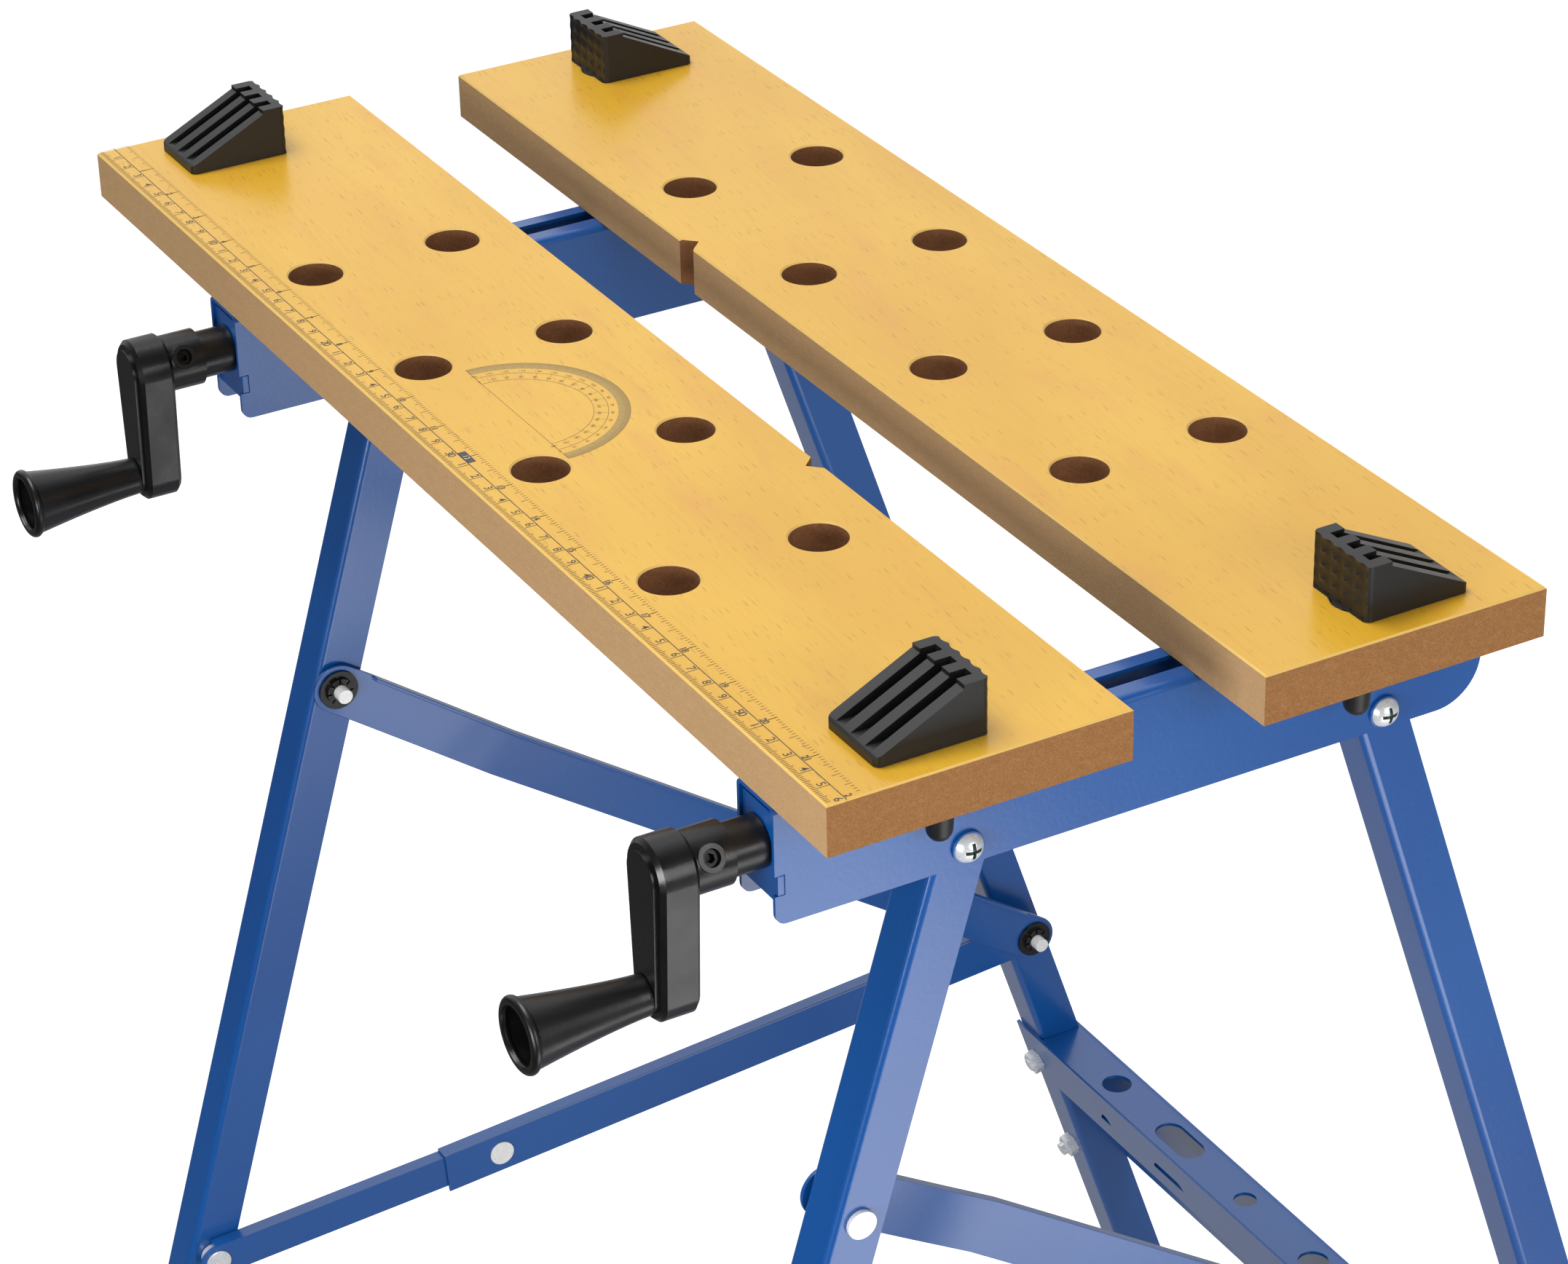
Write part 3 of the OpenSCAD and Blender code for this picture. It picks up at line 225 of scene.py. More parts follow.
def beech_film():
    """Printed beech: broad shades of yellow, warm clouds, thin streaks and short flecks."""
    material, tree, shader, at = new_material("beech_film", srgb(218, 166, 42), 0.34)
    shader.inputs["Coat Weight"].default_value = 0.3
    shader.inputs["Coat Roughness"].default_value = 0.2
    grain_slant = math.radians(4)
    slanted = add_node(tree, "ShaderNodeMapping",
                       {"Vector": at, "Rotation": (0, 0, grain_slant)}).outputs[0]
    tint = ranged(tree, noise(tree, stretched(tree, slanted, (3, 9, 1)), 2.2, 2), 0.35, 0.65)
    color = mixed(tree, tint, srgb(216, 164, 40), srgb(225, 175, 50))
    for scale, detail, low, high, share, shade in (
            ((16, 60, 1), 3, 0.56, 0.74, 0.4, srgb(214, 146, 62)),
            ((40, 700, 1), 2, 0.5, 0.8, 0.22, srgb(190, 138, 34))):
        cloud = noise(tree, stretched(tree, slanted, scale), 1.0, detail)
        color = mixed(tree, ranged(tree, cloud, low, high, 0, share), color, shade)
    # Flecks lie in cells of this length and breadth, and a share of the cells stays empty
    for length, breadth, offset, empty in ((17 * MM, 1.9 * MM, 0.0, 0.6),
                                           (11 * MM, 1.4 * MM, 3.7, 0.7)):
        cell = stretched(tree, slanted, (1 / length, 1 / breadth, 0), (offset, offset, 0))
        cells = add_node(tree, "ShaderNodeTexVoronoi", {"Vector": cell, "Scale": 1.0},
                         voronoi_dimensions="2D")
        fleck = ranged(tree, cells.outputs["Distance"], 0.17, 0.08)
        drawn = add_node(tree, "ShaderNodeSeparateColor", {"Color": cells.outputs["Color"]})
        kept = ranged(tree, drawn.outputs[0], empty, empty + 0.35, 0, 0.42)
        both = add_node(tree, "ShaderNodeMath", {0: fleck, 1: kept}, operation="MULTIPLY")
        color = mixed(tree, both.outputs[0], color, srgb(140, 98, 26))
    tree.links.new(color, shader.inputs["Base Color"])
    bumped(tree, shader, noise(tree, stretched(tree, at, (260, 900, 1)), 1.0, 3), 0.04 * MM)
    return material


def fibreboard(name, pale, dark):
    """Cut fibreboard, matt and rough: clumps of fibres, and single fibres on them."""
    material, tree, shader, at = new_material(name, pale, 0.85)
    shader.inputs["Specular IOR Level"].default_value = 0.2
    coarse = noise(tree, stretched(tree, at, (1, 1, 2.2)), 260, 5, 0.62)
    fine = noise(tree, stretched(tree, at, (1, 1, 1.5)), 1500, 3, 0.7)
    speckle = mixed(tree, ranged(tree, fine, 0.35, 0.68), dark, pale)
    color = mixed(tree, ranged(tree, coarse, 0.3, 0.7), dark, speckle)
    half = mixed(tree, 0.55, speckle, color)
    tree.links.new(half, shader.inputs["Base Color"])
    bumped(tree, shader, fine, 0.25 * MM)
    return material


film = beech_film()
# Paler film on the chamfered rim: a painted highlight along the boards' top edges
film_highlight_edge = new_material("film_highlight_edge", srgb(218, 178, 96), 0.5)[0]
# The same fibreboard twice: paler on the long sides as painted light, darker on the ends facing x
# as painted shade
lit_board_edge = fibreboard("fibreboard_lit_edge", srgb(200, 166, 122), srgb(176, 138, 96))
shaded_board_end = fibreboard("fibreboard_shaded_end", srgb(172, 126, 80), srgb(140, 94, 52))
# The hole walls in a darker fibreboard still: painted shade in the holes
shaded_hole_wall = fibreboard("fibreboard_shaded_hole", srgb(156, 108, 72), srgb(124, 80, 48))


def merged_copy(node_name, name):
    """The CAD piece as one clean mesh: its loose triangles joined, its flat faces whole."""
    mesh = bpy.data.meshes.new(name)
    bm = bmesh.new()
    bm.from_mesh(frame["nodes"][node_name].data)
    bmesh.ops.remove_doubles(bm, verts=bm.verts, dist=0.002 * MM)
    bmesh.ops.dissolve_limit(bm, angle_limit=math.radians(0.4), verts=bm.verts, edges=bm.edges)
    bm.to_mesh(mesh)
    bm.free()
    piece = bpy.data.objects.new(name, mesh)
    scene.collection.objects.link(piece)
    return piece


def applied(piece):
    """Turns the piece, with its modifiers, into a plain mesh."""
    evaluated = piece.evaluated_get(bpy.context.evaluated_depsgraph_get())
    mesh = bpy.data.meshes.new_from_object(evaluated)
    piece.modifiers.clear()
    piece.data = mesh
    return piece


def smooth(piece, angle=32):
    """Smooth shading, with the edges that are sharper than the angle kept crisp."""
    bm = bmesh.new()
    bm.from_mesh(piece.data)
    for face in bm.faces:
        face.smooth = True
    for edge in bm.edges:
        edge.smooth = edge.calc_face_angle(math.pi) < math.radians(angle)
    bm.to_mesh(piece.data)
    bm.free()


def softened(piece, width):
    """Rounds the piece's edges a little, as paint, moulding or sanding leaves them.
    The normals follow the large faces, so that these stay flat up to their bends."""
    bevel = piece.modifiers.new("edge", "BEVEL")
    bevel.width = width
    bevel.segments = 2
    bevel.limit_method = "ANGLE"
    bevel.angle_limit = math.radians(34)
    bevel.use_clamp_overlap = True
    applied(piece)
    smooth(piece)
    weighted = piece.modifiers.new("flat", "WEIGHTED_NORMAL")
    weighted.keep_sharp = True
    return applied(piece)


def stands_for(piece, node_name):
    """The dressed piece moves with its CAD node's body and is shown in the node's place."""
    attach(piece, frame["nodes"][node_name]["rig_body"])
    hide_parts(node_name)


chamfer = 0.8 * MM
coats = [film, film_highlight_edge, lit_board_edge, shaded_board_end, shaded_hole_wall]
for node_name in ("front_jaw_board", "rear_jaw_board"):
    board = merged_copy(node_name, node_name + "_filmed")
    low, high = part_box(node_name)
    for coat in coats:
        board.data.materials.append(coat)
    for face in board.data.polygons:
        at, facing = face.center, face.normal
        at_rim = min(at.x - low.x, high.x - at.x, at.y - low.y, high.y - at.y) < chamfer
        # The chamfer's paler film is a painted highlight; the paler long sides, darker ends and
        # darker hole walls are painted light and shade
        if facing.z > 0.99 and at.z > high.z - chamfer:
            coat = film
        elif facing.z > 0.3 and at.z > high.z - 2 * chamfer:
            coat = film_highlight_edge
        elif at_rim or abs(facing.z) > 0.5:
            coat = shaded_board_end if abs(facing.x) > 0.9 else lit_board_edge
        else:
            coat = shaded_hole_wall
        face.material_index = coats.index(coat)
    smooth(board, 25)
    stands_for(board, node_name)


# Ruler and protractor. They are printed on the front board's film in dark brown ink:
# millimetres and centimetres along the front edge, inches behind them.
def ink(name, color):
    """Printing ink, worn paler here and there."""
    material, tree, shader, at = new_material(name, color, 0.45)
    worn = ranged(tree, noise(tree, at, 900, 2), 0.3, 0.75)
    tree.links.new(mixed(tree, worn, color, tuple(0.72 * c + 0.06 for c in color[:3]) + (1,)),
                   shader.inputs["Base Color"])
    return material


dark_ink = ink("dark_ink", srgb(62, 42, 16))
thin_ink = ink("thin_ink", srgb(128, 96, 34))
tint_ink = ink("tint_ink", srgb(176, 142, 62))
box_ink = ink("box_ink", srgb(40, 30, 42))
pale_ink = ink("pale_ink", srgb(226, 206, 178))


def tick_row():
    """Tree for a row of tick marks along +x, with longer marks at every few places."""
    tree = bpy.data.node_groups.new("tick_row", "GeometryNodeTree")
    for name, kind in (("Count", "NodeSocketInt"), ("Pitch", "NodeSocketFloat"),
                       ("Width", "NodeSocketFloat"), ("Short", "NodeSocketFloat"),
                       ("Middle", "NodeSocketFloat"), ("Long", "NodeSocketFloat"),
                       ("Middle every", "NodeSocketFloat"), ("Long every", "NodeSocketFloat"),
                       ("Side", "NodeSocketFloat"), ("Material", "NodeSocketMaterial")):
        tree.interface.new_socket(name, in_out="INPUT", socket_type=kind)
    tree.interface.new_socket("Geometry", in_out="OUTPUT", socket_type="NodeSocketGeometry")
    given = add_node(tree, "NodeGroupInput").outputs
    step = add_node(tree, "ShaderNodeCombineXYZ", {0: given["Pitch"]})
    line = add_node(tree, "GeometryNodeMeshLine", {"Count": given["Count"],
                    "Offset": step.outputs[0]})
    index = add_node(tree, "GeometryNodeInputIndex").outputs[0]

    def at_every(places):
        rest = add_node(tree, "ShaderNodeMath", {0: index, 1: places}, operation="MODULO")
        return add_node(tree, "ShaderNodeMath", {0: rest.outputs[0], 1: 0.5},
                        operation="LESS_THAN").outputs[0]

    def chosen(choice, no, yes):
        return add_node(tree, "GeometryNodeSwitch", {"Switch": choice, "False": no, "True": yes},
                        input_type="FLOAT").outputs[0]

    length = chosen(at_every(given["Long every"]),
                    chosen(at_every(given["Middle every"]), given["Short"], given["Middle"]),
                    given["Long"])
    half = add_node(tree, "ShaderNodeMath", {0: length, 1: 0.5}, operation="MULTIPLY")
    lift = add_node(tree, "ShaderNodeMath", {0: half.outputs[0], 1: given["Side"]},
                    operation="MULTIPLY")
    shift = add_node(tree, "ShaderNodeCombineXYZ", {1: lift.outputs[0]})
    centred = add_node(tree, "GeometryNodeSetPosition", {"Geometry": line.outputs[0],
                       "Offset": shift.outputs[0]})
    mark = add_node(tree, "GeometryNodeMeshGrid", {"Size X": 1.0, "Size Y": 1.0,
                    "Vertices X": 2, "Vertices Y": 2})
    size = add_node(tree, "ShaderNodeCombineXYZ", {0: given["Width"], 1: length, 2: 1.0})
    marks = add_node(tree, "GeometryNodeInstanceOnPoints", {"Points": centred.outputs[0],
                     "Instance": mark.outputs["Mesh"], "Scale": size.outputs[0]})
    real = add_node(tree, "GeometryNodeRealizeInstances", {"Geometry": marks.outputs[0]})
    inked = add_node(tree, "GeometryNodeSetMaterial", {"Geometry": real.outputs[0],
                     "Material": given["Material"]})
    add_node(tree, "NodeGroupOutput", {"Geometry": inked.outputs[0]})
    return tree


def grown(name, tree, **inputs):
    """A plain mesh object that a Geometry Nodes tree made from the named inputs."""
    piece = bpy.data.objects.new(name, bpy.data.meshes.new(name))
    scene.collection.objects.link(piece)
    modifier = piece.modifiers.new("grow", "NODES")
    modifier.node_group = tree
    sockets = {item.name: item.identifier for item in tree.interface.items_tree
               if item.item_type == "SOCKET" and item.in_out == "INPUT"}
    for key, value in inputs.items():
        modifier[sockets[key.replace("_", " ")]] = value
    return applied(piece)


# A digit's height as a share of the size that its font is set to
digit_share = 0.73


def drawn_text(words, height, place, turn=0.0, align="CENTER", weight=0.0):
    """Digits as a flat mesh, their foot at the place. The weight thickens their strokes."""
    curve = bpy.data.curves.new("digits", "FONT")
    curve.body = words
    curve.size = height / digit_share
    curve.align_x = align
    curve.offset = weight
    curve.resolution_u = 3
    text = bpy.data.objects.new("digits", curve)
    scene.collection.objects.link(text)
    evaluated = text.evaluated_get(bpy.context.evaluated_depsgraph_get())
    mesh = bpy.data.meshes.new_from_object(evaluated)
    mesh.transform(Matrix.Translation(place) @ Matrix.Rotation(turn, 4, "Z"))
    bpy.data.objects.remove(text)
    return mesh


def joined(name, meshes, material):
    """One object of several meshes, all in one material."""
    bm = bmesh.new()
    for mesh in meshes:
        bm.from_mesh(mesh)
    whole = bpy.data.meshes.new(name)
    bm.to_mesh(whole)
    bm.free()
    whole.materials.append(material)
    # The rows of ticks come with another place in the list of materials
    for face in whole.polygons:
        face.material_index = 0
    piece = bpy.data.objects.new(name, whole)
    scene.collection.objects.link(piece)
    return piece


board_low, board_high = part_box("front_jaw_board")
ink_lift = 0.04 * MM
ruler_start = Vector((board_low.x, board_low.y, board_high.z + ink_lift))
board_length = board_high.x - board_low.x
midline_y = 7 * MM
tick_margin = 0.8 * MM
inch_ticks_y = 13 * MM
inch = 25.4 * MM
inches_in_foot = 12
last_inch = 22
whole_inch_tick = 6 * MM
marks = tick_row()


def on_board(mesh, place):
    """Moves a flat mesh to its place on the board."""
    mesh.transform(Matrix.Translation(place))
    return mesh


def printed(piece):
    """A print moves with the frame, as the board does."""
    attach(piece, "frame")


millimetres = grown("ticks", marks, Count=int(board_length / MM), Pitch=MM, Width=0.28 * MM,
                    Short=1.7 * MM, Middle=2.4 * MM, Long=midline_y - tick_margin,
                    Middle_every=5.0, Long_every=10.0, Side=1.0, Material=dark_ink)
sixteenths = grown("ticks", marks, Count=last_inch * 16, Pitch=inch / 16, Width=0.3 * MM,
                   Short=1.3 * MM, Middle=2.3 * MM, Long=3.2 * MM, Middle_every=4.0,
                   Long_every=8.0, Side=-1.0, Material=thin_ink)
whole_inches = grown("ticks", marks, Count=last_inch, Pitch=inch, Width=0.25 * MM,
                     Short=whole_inch_tick, Middle=whole_inch_tick, Long=whole_inch_tick,
                     Middle_every=1.0, Long_every=1.0, Side=-1.0, Material=thin_ink)
printed(joined("ruler_millimetres",
               [on_board(millimetres.data, ruler_start + Vector((0, tick_margin, 0)))], dark_ink))
printed(joined("ruler_inches",
               [on_board(sixteenths.data, ruler_start + Vector((0, inch_ticks_y, 0))),
                on_board(whole_inches.data, ruler_start + Vector((0, inch_ticks_y, 0)))],
               thin_ink))
for spent in (millimetres, sixteenths, whole_inches):
    bpy.data.objects.remove(spent)


def flat_strip(corners):
    """A flat face on the board, from corners measured from the ruler's start."""
    mesh = bpy.data.meshes.new("strip")
    mesh.from_pydata([ruler_start + Vector((x, y, 0)) for x, y in corners], [],
                     [tuple(range(len(corners)))])
    return mesh


def rectangle(x0, y0, x1, y1):
    return flat_strip([(x0, y0), (x1, y0), (x1, y1), (x0, y1)])


line_w = 0.34 * MM
centimetre = 10 * MM
centimetre_digits = 3.1 * MM
centimetre_foot_y = 3.5 * MM
inch_digits = 2.4 * MM
inch_foot_y = midline_y + 0.5 * MM
digit_gap = 0.5 * MM
fine_weight = 0.03 * MM
bold_weight = 0.08 * MM
numbers = [rectangle(0, midline_y - line_w / 2, board_length, midline_y + line_w / 2)]
for value in range(1, round(board_length / centimetre) + 1):
    whole_ten = value % 10 == 0
    words = str(value) if whole_ten else str(value % 10)
    foot = Vector((value * centimetre - (0 if whole_ten else digit_gap), centimetre_foot_y, 0))
    numbers.append(drawn_text(words, centimetre_digits, ruler_start + foot,
                              align="CENTER" if whole_ten else "RIGHT", weight=fine_weight))
for value in range(1, last_inch):
    if value != inches_in_foot:
        foot = Vector((value * inch, inch_foot_y, 0))
        numbers.append(drawn_text(str(value), inch_digits, ruler_start + foot,
                                  weight=bold_weight))
# Of the last inch's number only the first digit fits on the board
foot = Vector((last_inch * inch, inch_foot_y, 0))
numbers.append(drawn_text(str(last_inch)[0], inch_digits, ruler_start + foot, align="RIGHT",
                          weight=bold_weight))
printed(joined("ruler_numbers", numbers, dark_ink))

# The foot is marked by a dark box, with its number in pale ink over it
foot_mark_x = inches_in_foot * inch
box_half_w, box_h = 4.3 * MM, 3 * MM
box_digits, box_digits_y, over_box = 2.1 * MM, midline_y + 0.45 * MM, 0.03 * MM
foot_mark = rectangle(foot_mark_x - box_half_w, midline_y, foot_mark_x + box_half_w,
                      midline_y + box_h)
printed(joined("ruler_foot_mark", [foot_mark], box_ink))
foot = Vector((foot_mark_x, box_digits_y, over_box))
foot_digits = drawn_text(str(inches_in_foot), box_digits, ruler_start + foot,
                         weight=fine_weight)
printed(joined("ruler_foot_digits", [foot_digits], pale_ink))

protractor_at = Vector((284.6, 37.2)) * MM
protractor_r = 39 * MM
protractor_rings = (protractor_r, 31.5 * MM, 26.5 * MM)
outer_digits_r = protractor_rings[1] + 0.9 * MM
inner_digits_r = protractor_rings[2] + 1.3 * MM
hair_half = 0.09 * MM
ten_degree_tick = 5 * MM
degree_digits = 1.25 * MM
band_w = 4.2 * MM


def arc_band(inner, outer):
    """A flat half ring round the protractor's middle."""
    steps = 72
    angles = [math.pi * i / steps for i in range(steps + 1)]
    ring = [(protractor_at.x + outer * math.cos(a), protractor_at.y + outer * math.sin(a))
            for a in angles]
    back = [(protractor_at.x + inner * math.cos(a), protractor_at.y + inner * math.sin(a))
            for a in angles]
    mesh = bpy.data.meshes.new("arc")
    mesh.from_pydata([ruler_start + Vector((x, y, 0)) for x, y in ring + back], [],
                     [(i, i + 1, steps + 2 + i, steps + 1 + i) for i in range(steps)])
    return mesh


def bent(piece, radius):
    """A row of ticks bent round the protractor: x is an angle, y is a distance from the ring."""
    for vertex in piece.data.vertices:
        angle, out = vertex.co.x, radius + vertex.co.y
        vertex.co = (protractor_at.x + out * math.cos(angle),
                     protractor_at.y + out * math.sin(angle), 0)
    # Bending mirrors the row, so its faces are turned upwards again
    piece.data.flip_normals()
    mesh = on_board(piece.data, ruler_start)
    bpy.data.objects.remove(piece)
    return mesh


degree = math.pi / 180
degrees = grown("ticks", marks, Count=181, Pitch=degree, Width=0.12 * MM / protractor_r,
                Short=2 * MM, Middle=3 * MM, Long=4 * MM, Middle_every=5.0, Long_every=10.0,
                Side=-1.0, Material=thin_ink)
tens = grown("ticks", marks, Count=19, Pitch=10 * degree, Width=0.13 * MM / protractor_r,
             Short=ten_degree_tick, Middle=ten_degree_tick, Long=ten_degree_tick,
             Middle_every=1.0, Long_every=1.0, Side=1.0, Material=thin_ink)
scale_parts = [arc_band(r - hair_half, r + hair_half) for r in protractor_rings]
scale_parts += [bent(degrees, protractor_r), bent(tens, protractor_rings[2])]
scale_parts.append(rectangle(protractor_at.x - protractor_r, protractor_at.y - hair_half,
                             protractor_at.x + protractor_r, protractor_at.y + hair_half))
# The outer numbers count up from the right, and the inner ones count up from the left
for ring, backwards in ((outer_digits_r, False), (inner_digits_r, True)):
    for value in range(0, 190, 10):
        angle = value * degree
        place = ruler_start + Vector((protractor_at.x + ring * math.cos(angle),
                                      protractor_at.y + ring * math.sin(angle), 0))
        words = str(180 - value if backwards else value)
        scale_parts.append(drawn_text(words, degree_digits, place, turn=angle - math.pi / 2))
printed(joined("protractor_scale", scale_parts, thin_ink))
# The tinted band lies half as high as the scale that is printed over it
band = on_board(arc_band(protractor_r - band_w, protractor_r), (0, 0, -ink_lift / 2))
printed(joined("protractor_band", [band], tint_ink))


# Painted steel: rails, end plates, legs, links, braces, cross bar and tool rack. It is
# folded sheet under a semi-gloss blue powder coat, which rounds every edge a little, and
# bolts and rivets hold it together.
def powder_coat():
    """Blue powder coat: two close shades, a glossy skin, and the faint ripple of melted paint."""
    material, tree, shader, at = new_material("blue_powder_coat", srgb(9, 77, 149), 0.3)
    shader.inputs["Coat Weight"].default_value = 0.6
    shader.inputs["Coat Roughness"].default_value = 0.16
    cloud = ranged(tree, noise(tree, at, 9, 2), 0.3, 0.7)
    base = mixed(tree, cloud, srgb(8, 73, 145), srgb(12, 82, 155))
    tree.links.new(base, shader.inputs["Base Color"])
    bumped(tree, shader, noise(tree, at, 520, 2), 0.06 * MM)
    return material


def pivot_point(node_name):
    """Middle of a pin's box, as a point in the plane of the legs."""
    low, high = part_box(node_name)
    return Vector((0, (low.y + high.y) / 2, (low.z + high.z) / 2))


def eased_joggle(piece, side):
    """Draws out the step beside the link's front pivot into one slope that starts where the
    flat end at the pivot stops."""
    flat_until, step_from, reach, moved = 11 * MM, 48 * MM, 3 * MM, 4.2 * MM
    pin = pivot_point("link_pin_" + side)
    along = (pivot_point("rear_rivets") - pin).normalized()
    inboard = 1 if side == "left" else -1
    bm = bmesh.new()
    bm.from_mesh(piece.data)
    everything = bm.verts[:] + bm.edges[:] + bm.faces[:]
    bmesh.ops.bisect_plane(bm, geom=everything, plane_co=pin + along * flat_until, plane_no=along)
    for vertex in bm.verts:
        if abs((vertex.co - pin).dot(along) - step_from) < reach:
            vertex.co.x += inboard * moved
    bm.to_mesh(piece.data)
    bm.free()


blue = powder_coat()
painted_edge = 0.3 * MM
PAINTED = ["rail_left", "rail_right", "front_end_plates", "rear_end_plates", "leg_pivot_washers",
           "front_leg_left", "front_leg_right", "rear_leg_left", "rear_leg_right",
           "front_cross_bar", "tool_rack", "diagonal_link_left", "diagonal_link_right",
           "brace_rear_left", "brace_rear_right", "brace_front_left", "brace_front_right"]
for node_name in PAINTED:
    piece = merged_copy(node_name, node_name + "_painted")
    if node_name.startswith("diagonal_link"):
        eased_joggle(piece, node_name.rsplit("_", 1)[1])
    softened(piece, painted_edge)
    piece.data.materials.append(blue)
    stands_for(piece, node_name)


# Plated steel: bolts, nuts, screws, bushes, spacers, washers and spindles in bright zinc
# with its faint crystal pattern. The rivets and the links' pins are paler, and the set
# screws of the cranks are blackened.
def zinc_plate(name, dull, bright, metallic):
    """Plating in blotches of two shades, with a slightly uneven polish."""
    material, tree, shader, at = new_material(name, bright, 0.3)
    shader.inputs["Metallic"].default_value = metallic
    blotch = noise(tree, at, 420, 3)
    tree.links.new(mixed(tree, ranged(tree, blotch, 0.35, 0.65), dull, bright),
                   shader.inputs["Base Color"])
    tree.links.new(ranged(tree, noise(tree, at, 1600, 2), 0.3, 0.7, 0.26, 0.32),
                   shader.inputs["Roughness"])
    return material


zinc = zinc_plate("zinc_plate", srgb(222, 226, 229), srgb(234, 237, 239), 0.4)
rivet_steel = zinc_plate("rivet_steel", srgb(236, 236, 234), srgb(244, 243, 240), 0.15)
dark_steel = zinc_plate("blackened_steel", srgb(20, 20, 21), srgb(34, 34, 36), 0.8)
# Darker zinc for the crosses in the leg bolts' heads: painted shade in the recesses
recess_shade_zinc = zinc_plate("recess_shade_zinc", srgb(88, 99, 98), srgb(120, 131, 128), 0.4)
FINISHES = {"link_rivet_heads": rivet_steel, "brace_rivet_heads": rivet_steel,
            "rear_rivets": rivet_steel, "link_pin_left": rivet_steel,
            "link_pin_right": rivet_steel, "knee_rivet_left": rivet_steel,
            "knee_rivet_right": rivet_steel, "crank_pin_left": dark_steel,
            "crank_pin_right": dark_steel}
PLATED = ["front_jaw_screws", "rear_jaw_screws", "leg_pivot_nuts", "leg_pivot_bushes",
          "cross_bar_nuts", "rack_nuts", "link_rivet_heads", "brace_rivet_heads", "rear_rivets",
          "rear_spacers", "rear_washers", "link_pin_left", "link_pin_right", "knee_rivet_left",
          "knee_rivet_right", "brace_pin_left", "brace_pin_right", "leg_pivot_bolts",
          "cross_bar_bolts", "rack_bolts", "spindle_left", "spindle_right", "crank_pin_left",
          "crank_pin_right"]
plated_edge = 0.25 * MM
bolt_head_r = 5.2 * MM
recess_r = 3 * MM
recess_depth = 1.8 * MM
recess_floor = 0.2 * MM
recess_slack = 0.1 * MM


def shade_recesses(piece, node_name):
    """Paints shade into the cross in the head of each leg bolt, as a darker zinc. The heads are
    the ends of the bolts' box along x, and their axes lie a head's radius inside it along y."""
    piece.data.materials.append(recess_shade_zinc)
    low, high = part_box(node_name)
    axis_z = (low.z + high.z) / 2
    for face in piece.data.polygons:
        at = face.center
        depth = min(high.x - at.x, at.x - low.x)
        off_axis = min(math.hypot(at.y - axis_y, at.z - axis_z)
                       for axis_y in (low.y + bolt_head_r, high.y - bolt_head_r))
        sunk = abs(face.normal.x) < 0.5 or depth > recess_depth - recess_floor
        if off_axis < recess_r and depth < recess_depth + recess_slack and sunk:
            face.material_index = 1


for node_name in PLATED:
    piece = merged_copy(node_name, node_name + "_plated")
    softened(piece, plated_edge)
    piece.data.materials.append(FINISHES.get(node_name, zinc))
    if node_name == "leg_pivot_bolts":
        shade_recesses(piece, node_name)
    stands_for(piece, node_name)


# Threads of the spindles: one ridge of plated steel, wound from the front end plate to the
# rear one. The rod between them is first turned down to the core of the thread.
thread_pitch = 3 * MM
thread_depth = 1.1 * MM
spindle_r = 5 * MM
round_steps = 28
plate_gap = 5 * MM
thread_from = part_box("front_end_plates")[1].y + plate_gap
thread_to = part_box("rear_end_plates")[0].y - plate_gap


def thread_ridge(axis_x, axis_z):
    """The ridge round one axis. A point of its profile is a share of the pitch and a radius."""
    mesh = bpy.data.meshes.new("thread")
    profile = ((0, spindle_r - thread_depth), (0.3, spindle_r), (0.55, spindle_r),
               (0.85, spindle_r - thread_depth))
    points, faces = [], []
    steps = int((thread_to - thread_from) / thread_pitch * round_steps)
    for step in range(steps):
        angle = 2 * math.pi * step / round_steps
        for share, radius in profile:
            points.append((axis_x + radius * math.cos(angle),
                           thread_from + (step / round_steps + share) * thread_pitch,
                           axis_z - radius * math.sin(angle)))
    for step in range(steps - 1):
        for i in range(len(profile) - 1):
            a = step * len(profile) + i
            b = a + len(profile)
            faces.append((a, b, b + 1, a + 1))
    mesh.from_pydata(points, [], faces)
    return mesh


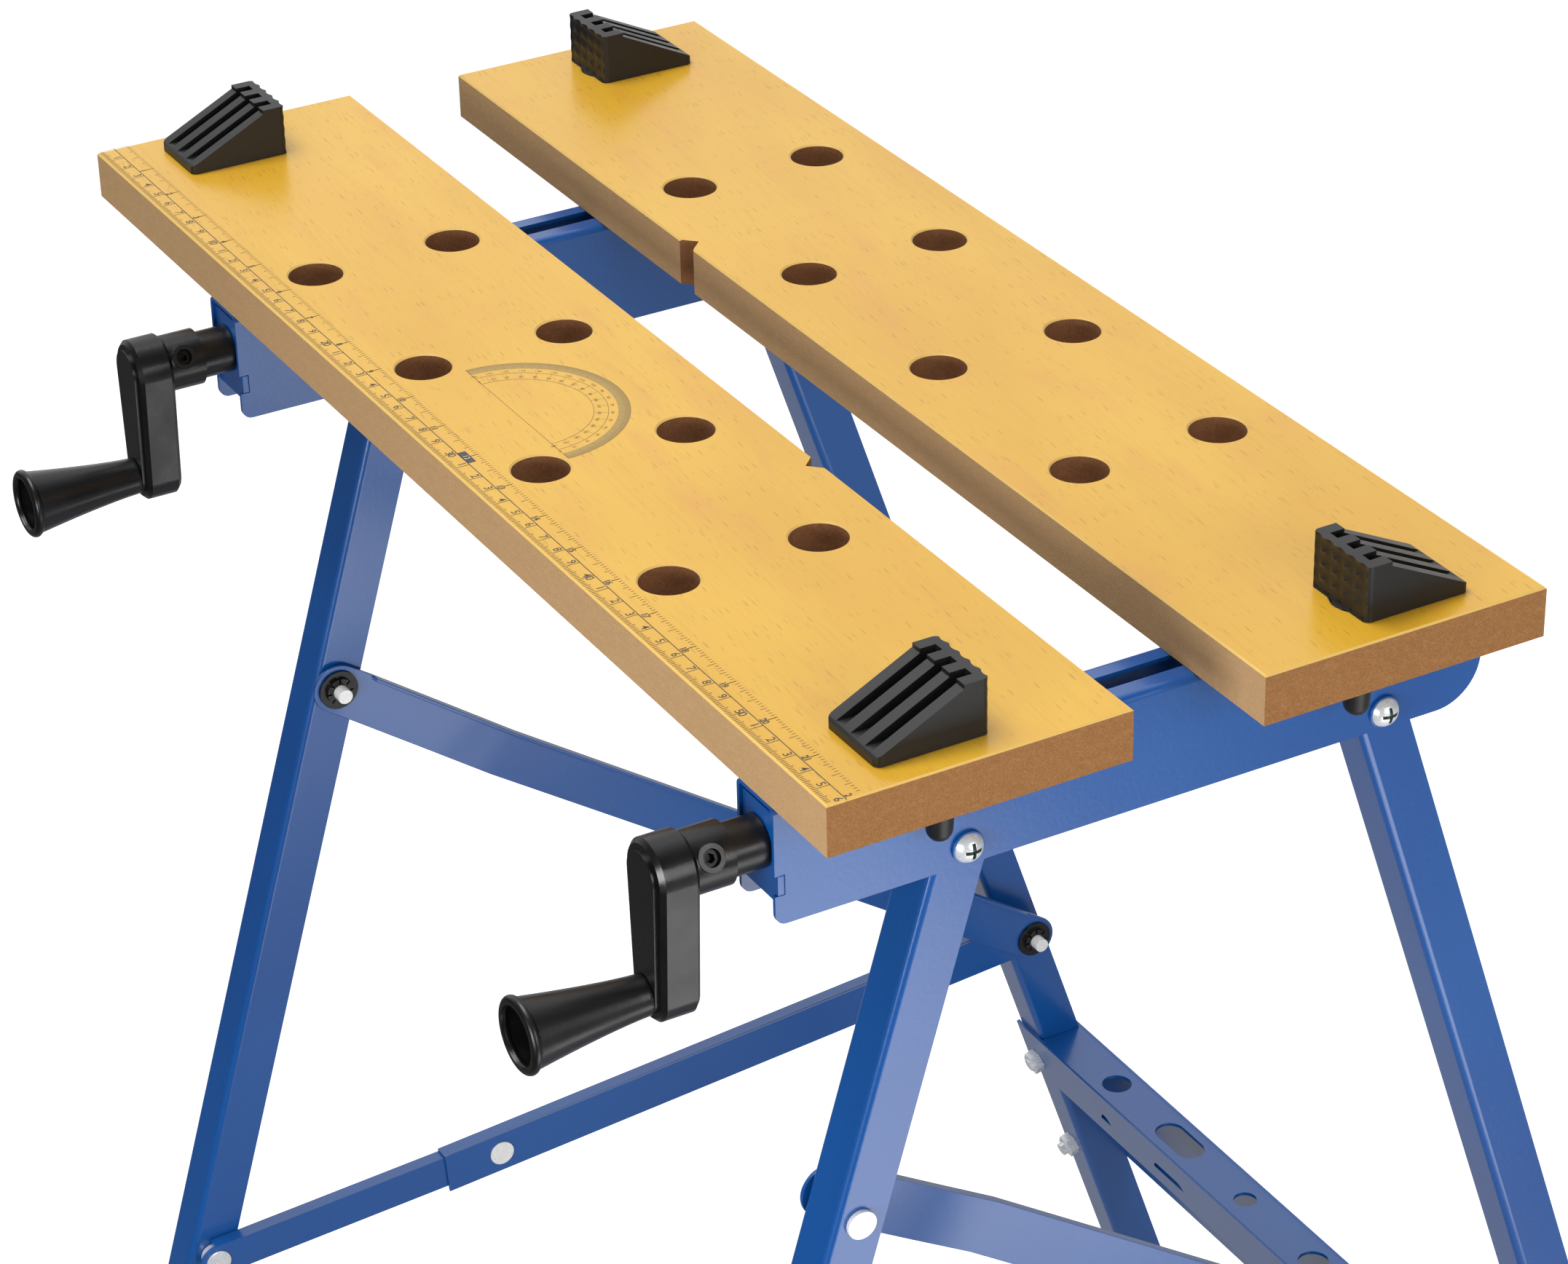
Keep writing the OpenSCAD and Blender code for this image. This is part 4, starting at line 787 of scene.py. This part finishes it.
for side in ("left", "right"):
    spindle = bpy.data.objects["spindle_" + side + "_plated"]
    low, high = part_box("spindle_" + side)
    axis_x, axis_z = (low.x + high.x) / 2, (low.z + high.z) / 2
    for vertex in spindle.data.vertices:
        out = Vector((vertex.co.x - axis_x, vertex.co.z - axis_z))
        on_rod = 0.8 * spindle_r < out.length < 1.1 * spindle_r
        if on_rod and vertex.co.y > thread_from - plate_gap:
            out *= (spindle_r - thread_depth) / out.length
            vertex.co.x, vertex.co.z = axis_x + out.x, axis_z + out.y
    ridge = joined("spindle_thread_" + side, [thread_ridge(axis_x, axis_z)], zinc)
    smooth(ridge)
    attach(ridge, frame["nodes"]["spindle_" + side]["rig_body"])


# Black plastic pieces: cranks, grips, dogs, caps, feet and carriers, moulded in a
# near-black plastic with a satin skin. The cranks, grips and caps are the glossier ones.
def black_moulding(name, color, roughness, grain):
    """Moulded plastic with an uneven sheen and a fine grain, in repeats per metre."""
    material, tree, shader, at = new_material(name, color, roughness)
    shader.inputs["Specular IOR Level"].default_value = 0.45
    uneven = ranged(tree, noise(tree, at, 60, 3), 0.3, 0.7, roughness - 0.05, roughness + 0.07)
    tree.links.new(uneven, shader.inputs["Roughness"])
    bumped(tree, shader, noise(tree, at, grain, 2), 0.03 * MM)
    return material


crank_plastic = black_moulding("crank_plastic", srgb(14, 14, 15), 0.28, 700)
dog_plastic = black_moulding("dog_plastic", srgb(18, 18, 19), 0.42, 1400)
MOULDED = {"crank_left": crank_plastic, "crank_right": crank_plastic, "grip_left": crank_plastic,
           "grip_right": crank_plastic, "rear_caps": crank_plastic, "link_cap_left": crank_plastic,
           "link_cap_right": crank_plastic, "front_feet": dog_plastic, "rear_feet": dog_plastic,
           "jaw_carrier_left": dog_plastic, "jaw_carrier_right": dog_plastic,
           "dog_front_left": dog_plastic, "dog_front_right": dog_plastic,
           "dog_rear_left": dog_plastic, "dog_rear_right": dog_plastic}
moulded_edge = 0.3 * MM
for node_name, plastic in MOULDED.items():
    piece = merged_copy(node_name, node_name + "_moulded")
    softened(piece, moulded_edge)
    piece.data.materials.append(plastic)
    stands_for(piece, node_name)
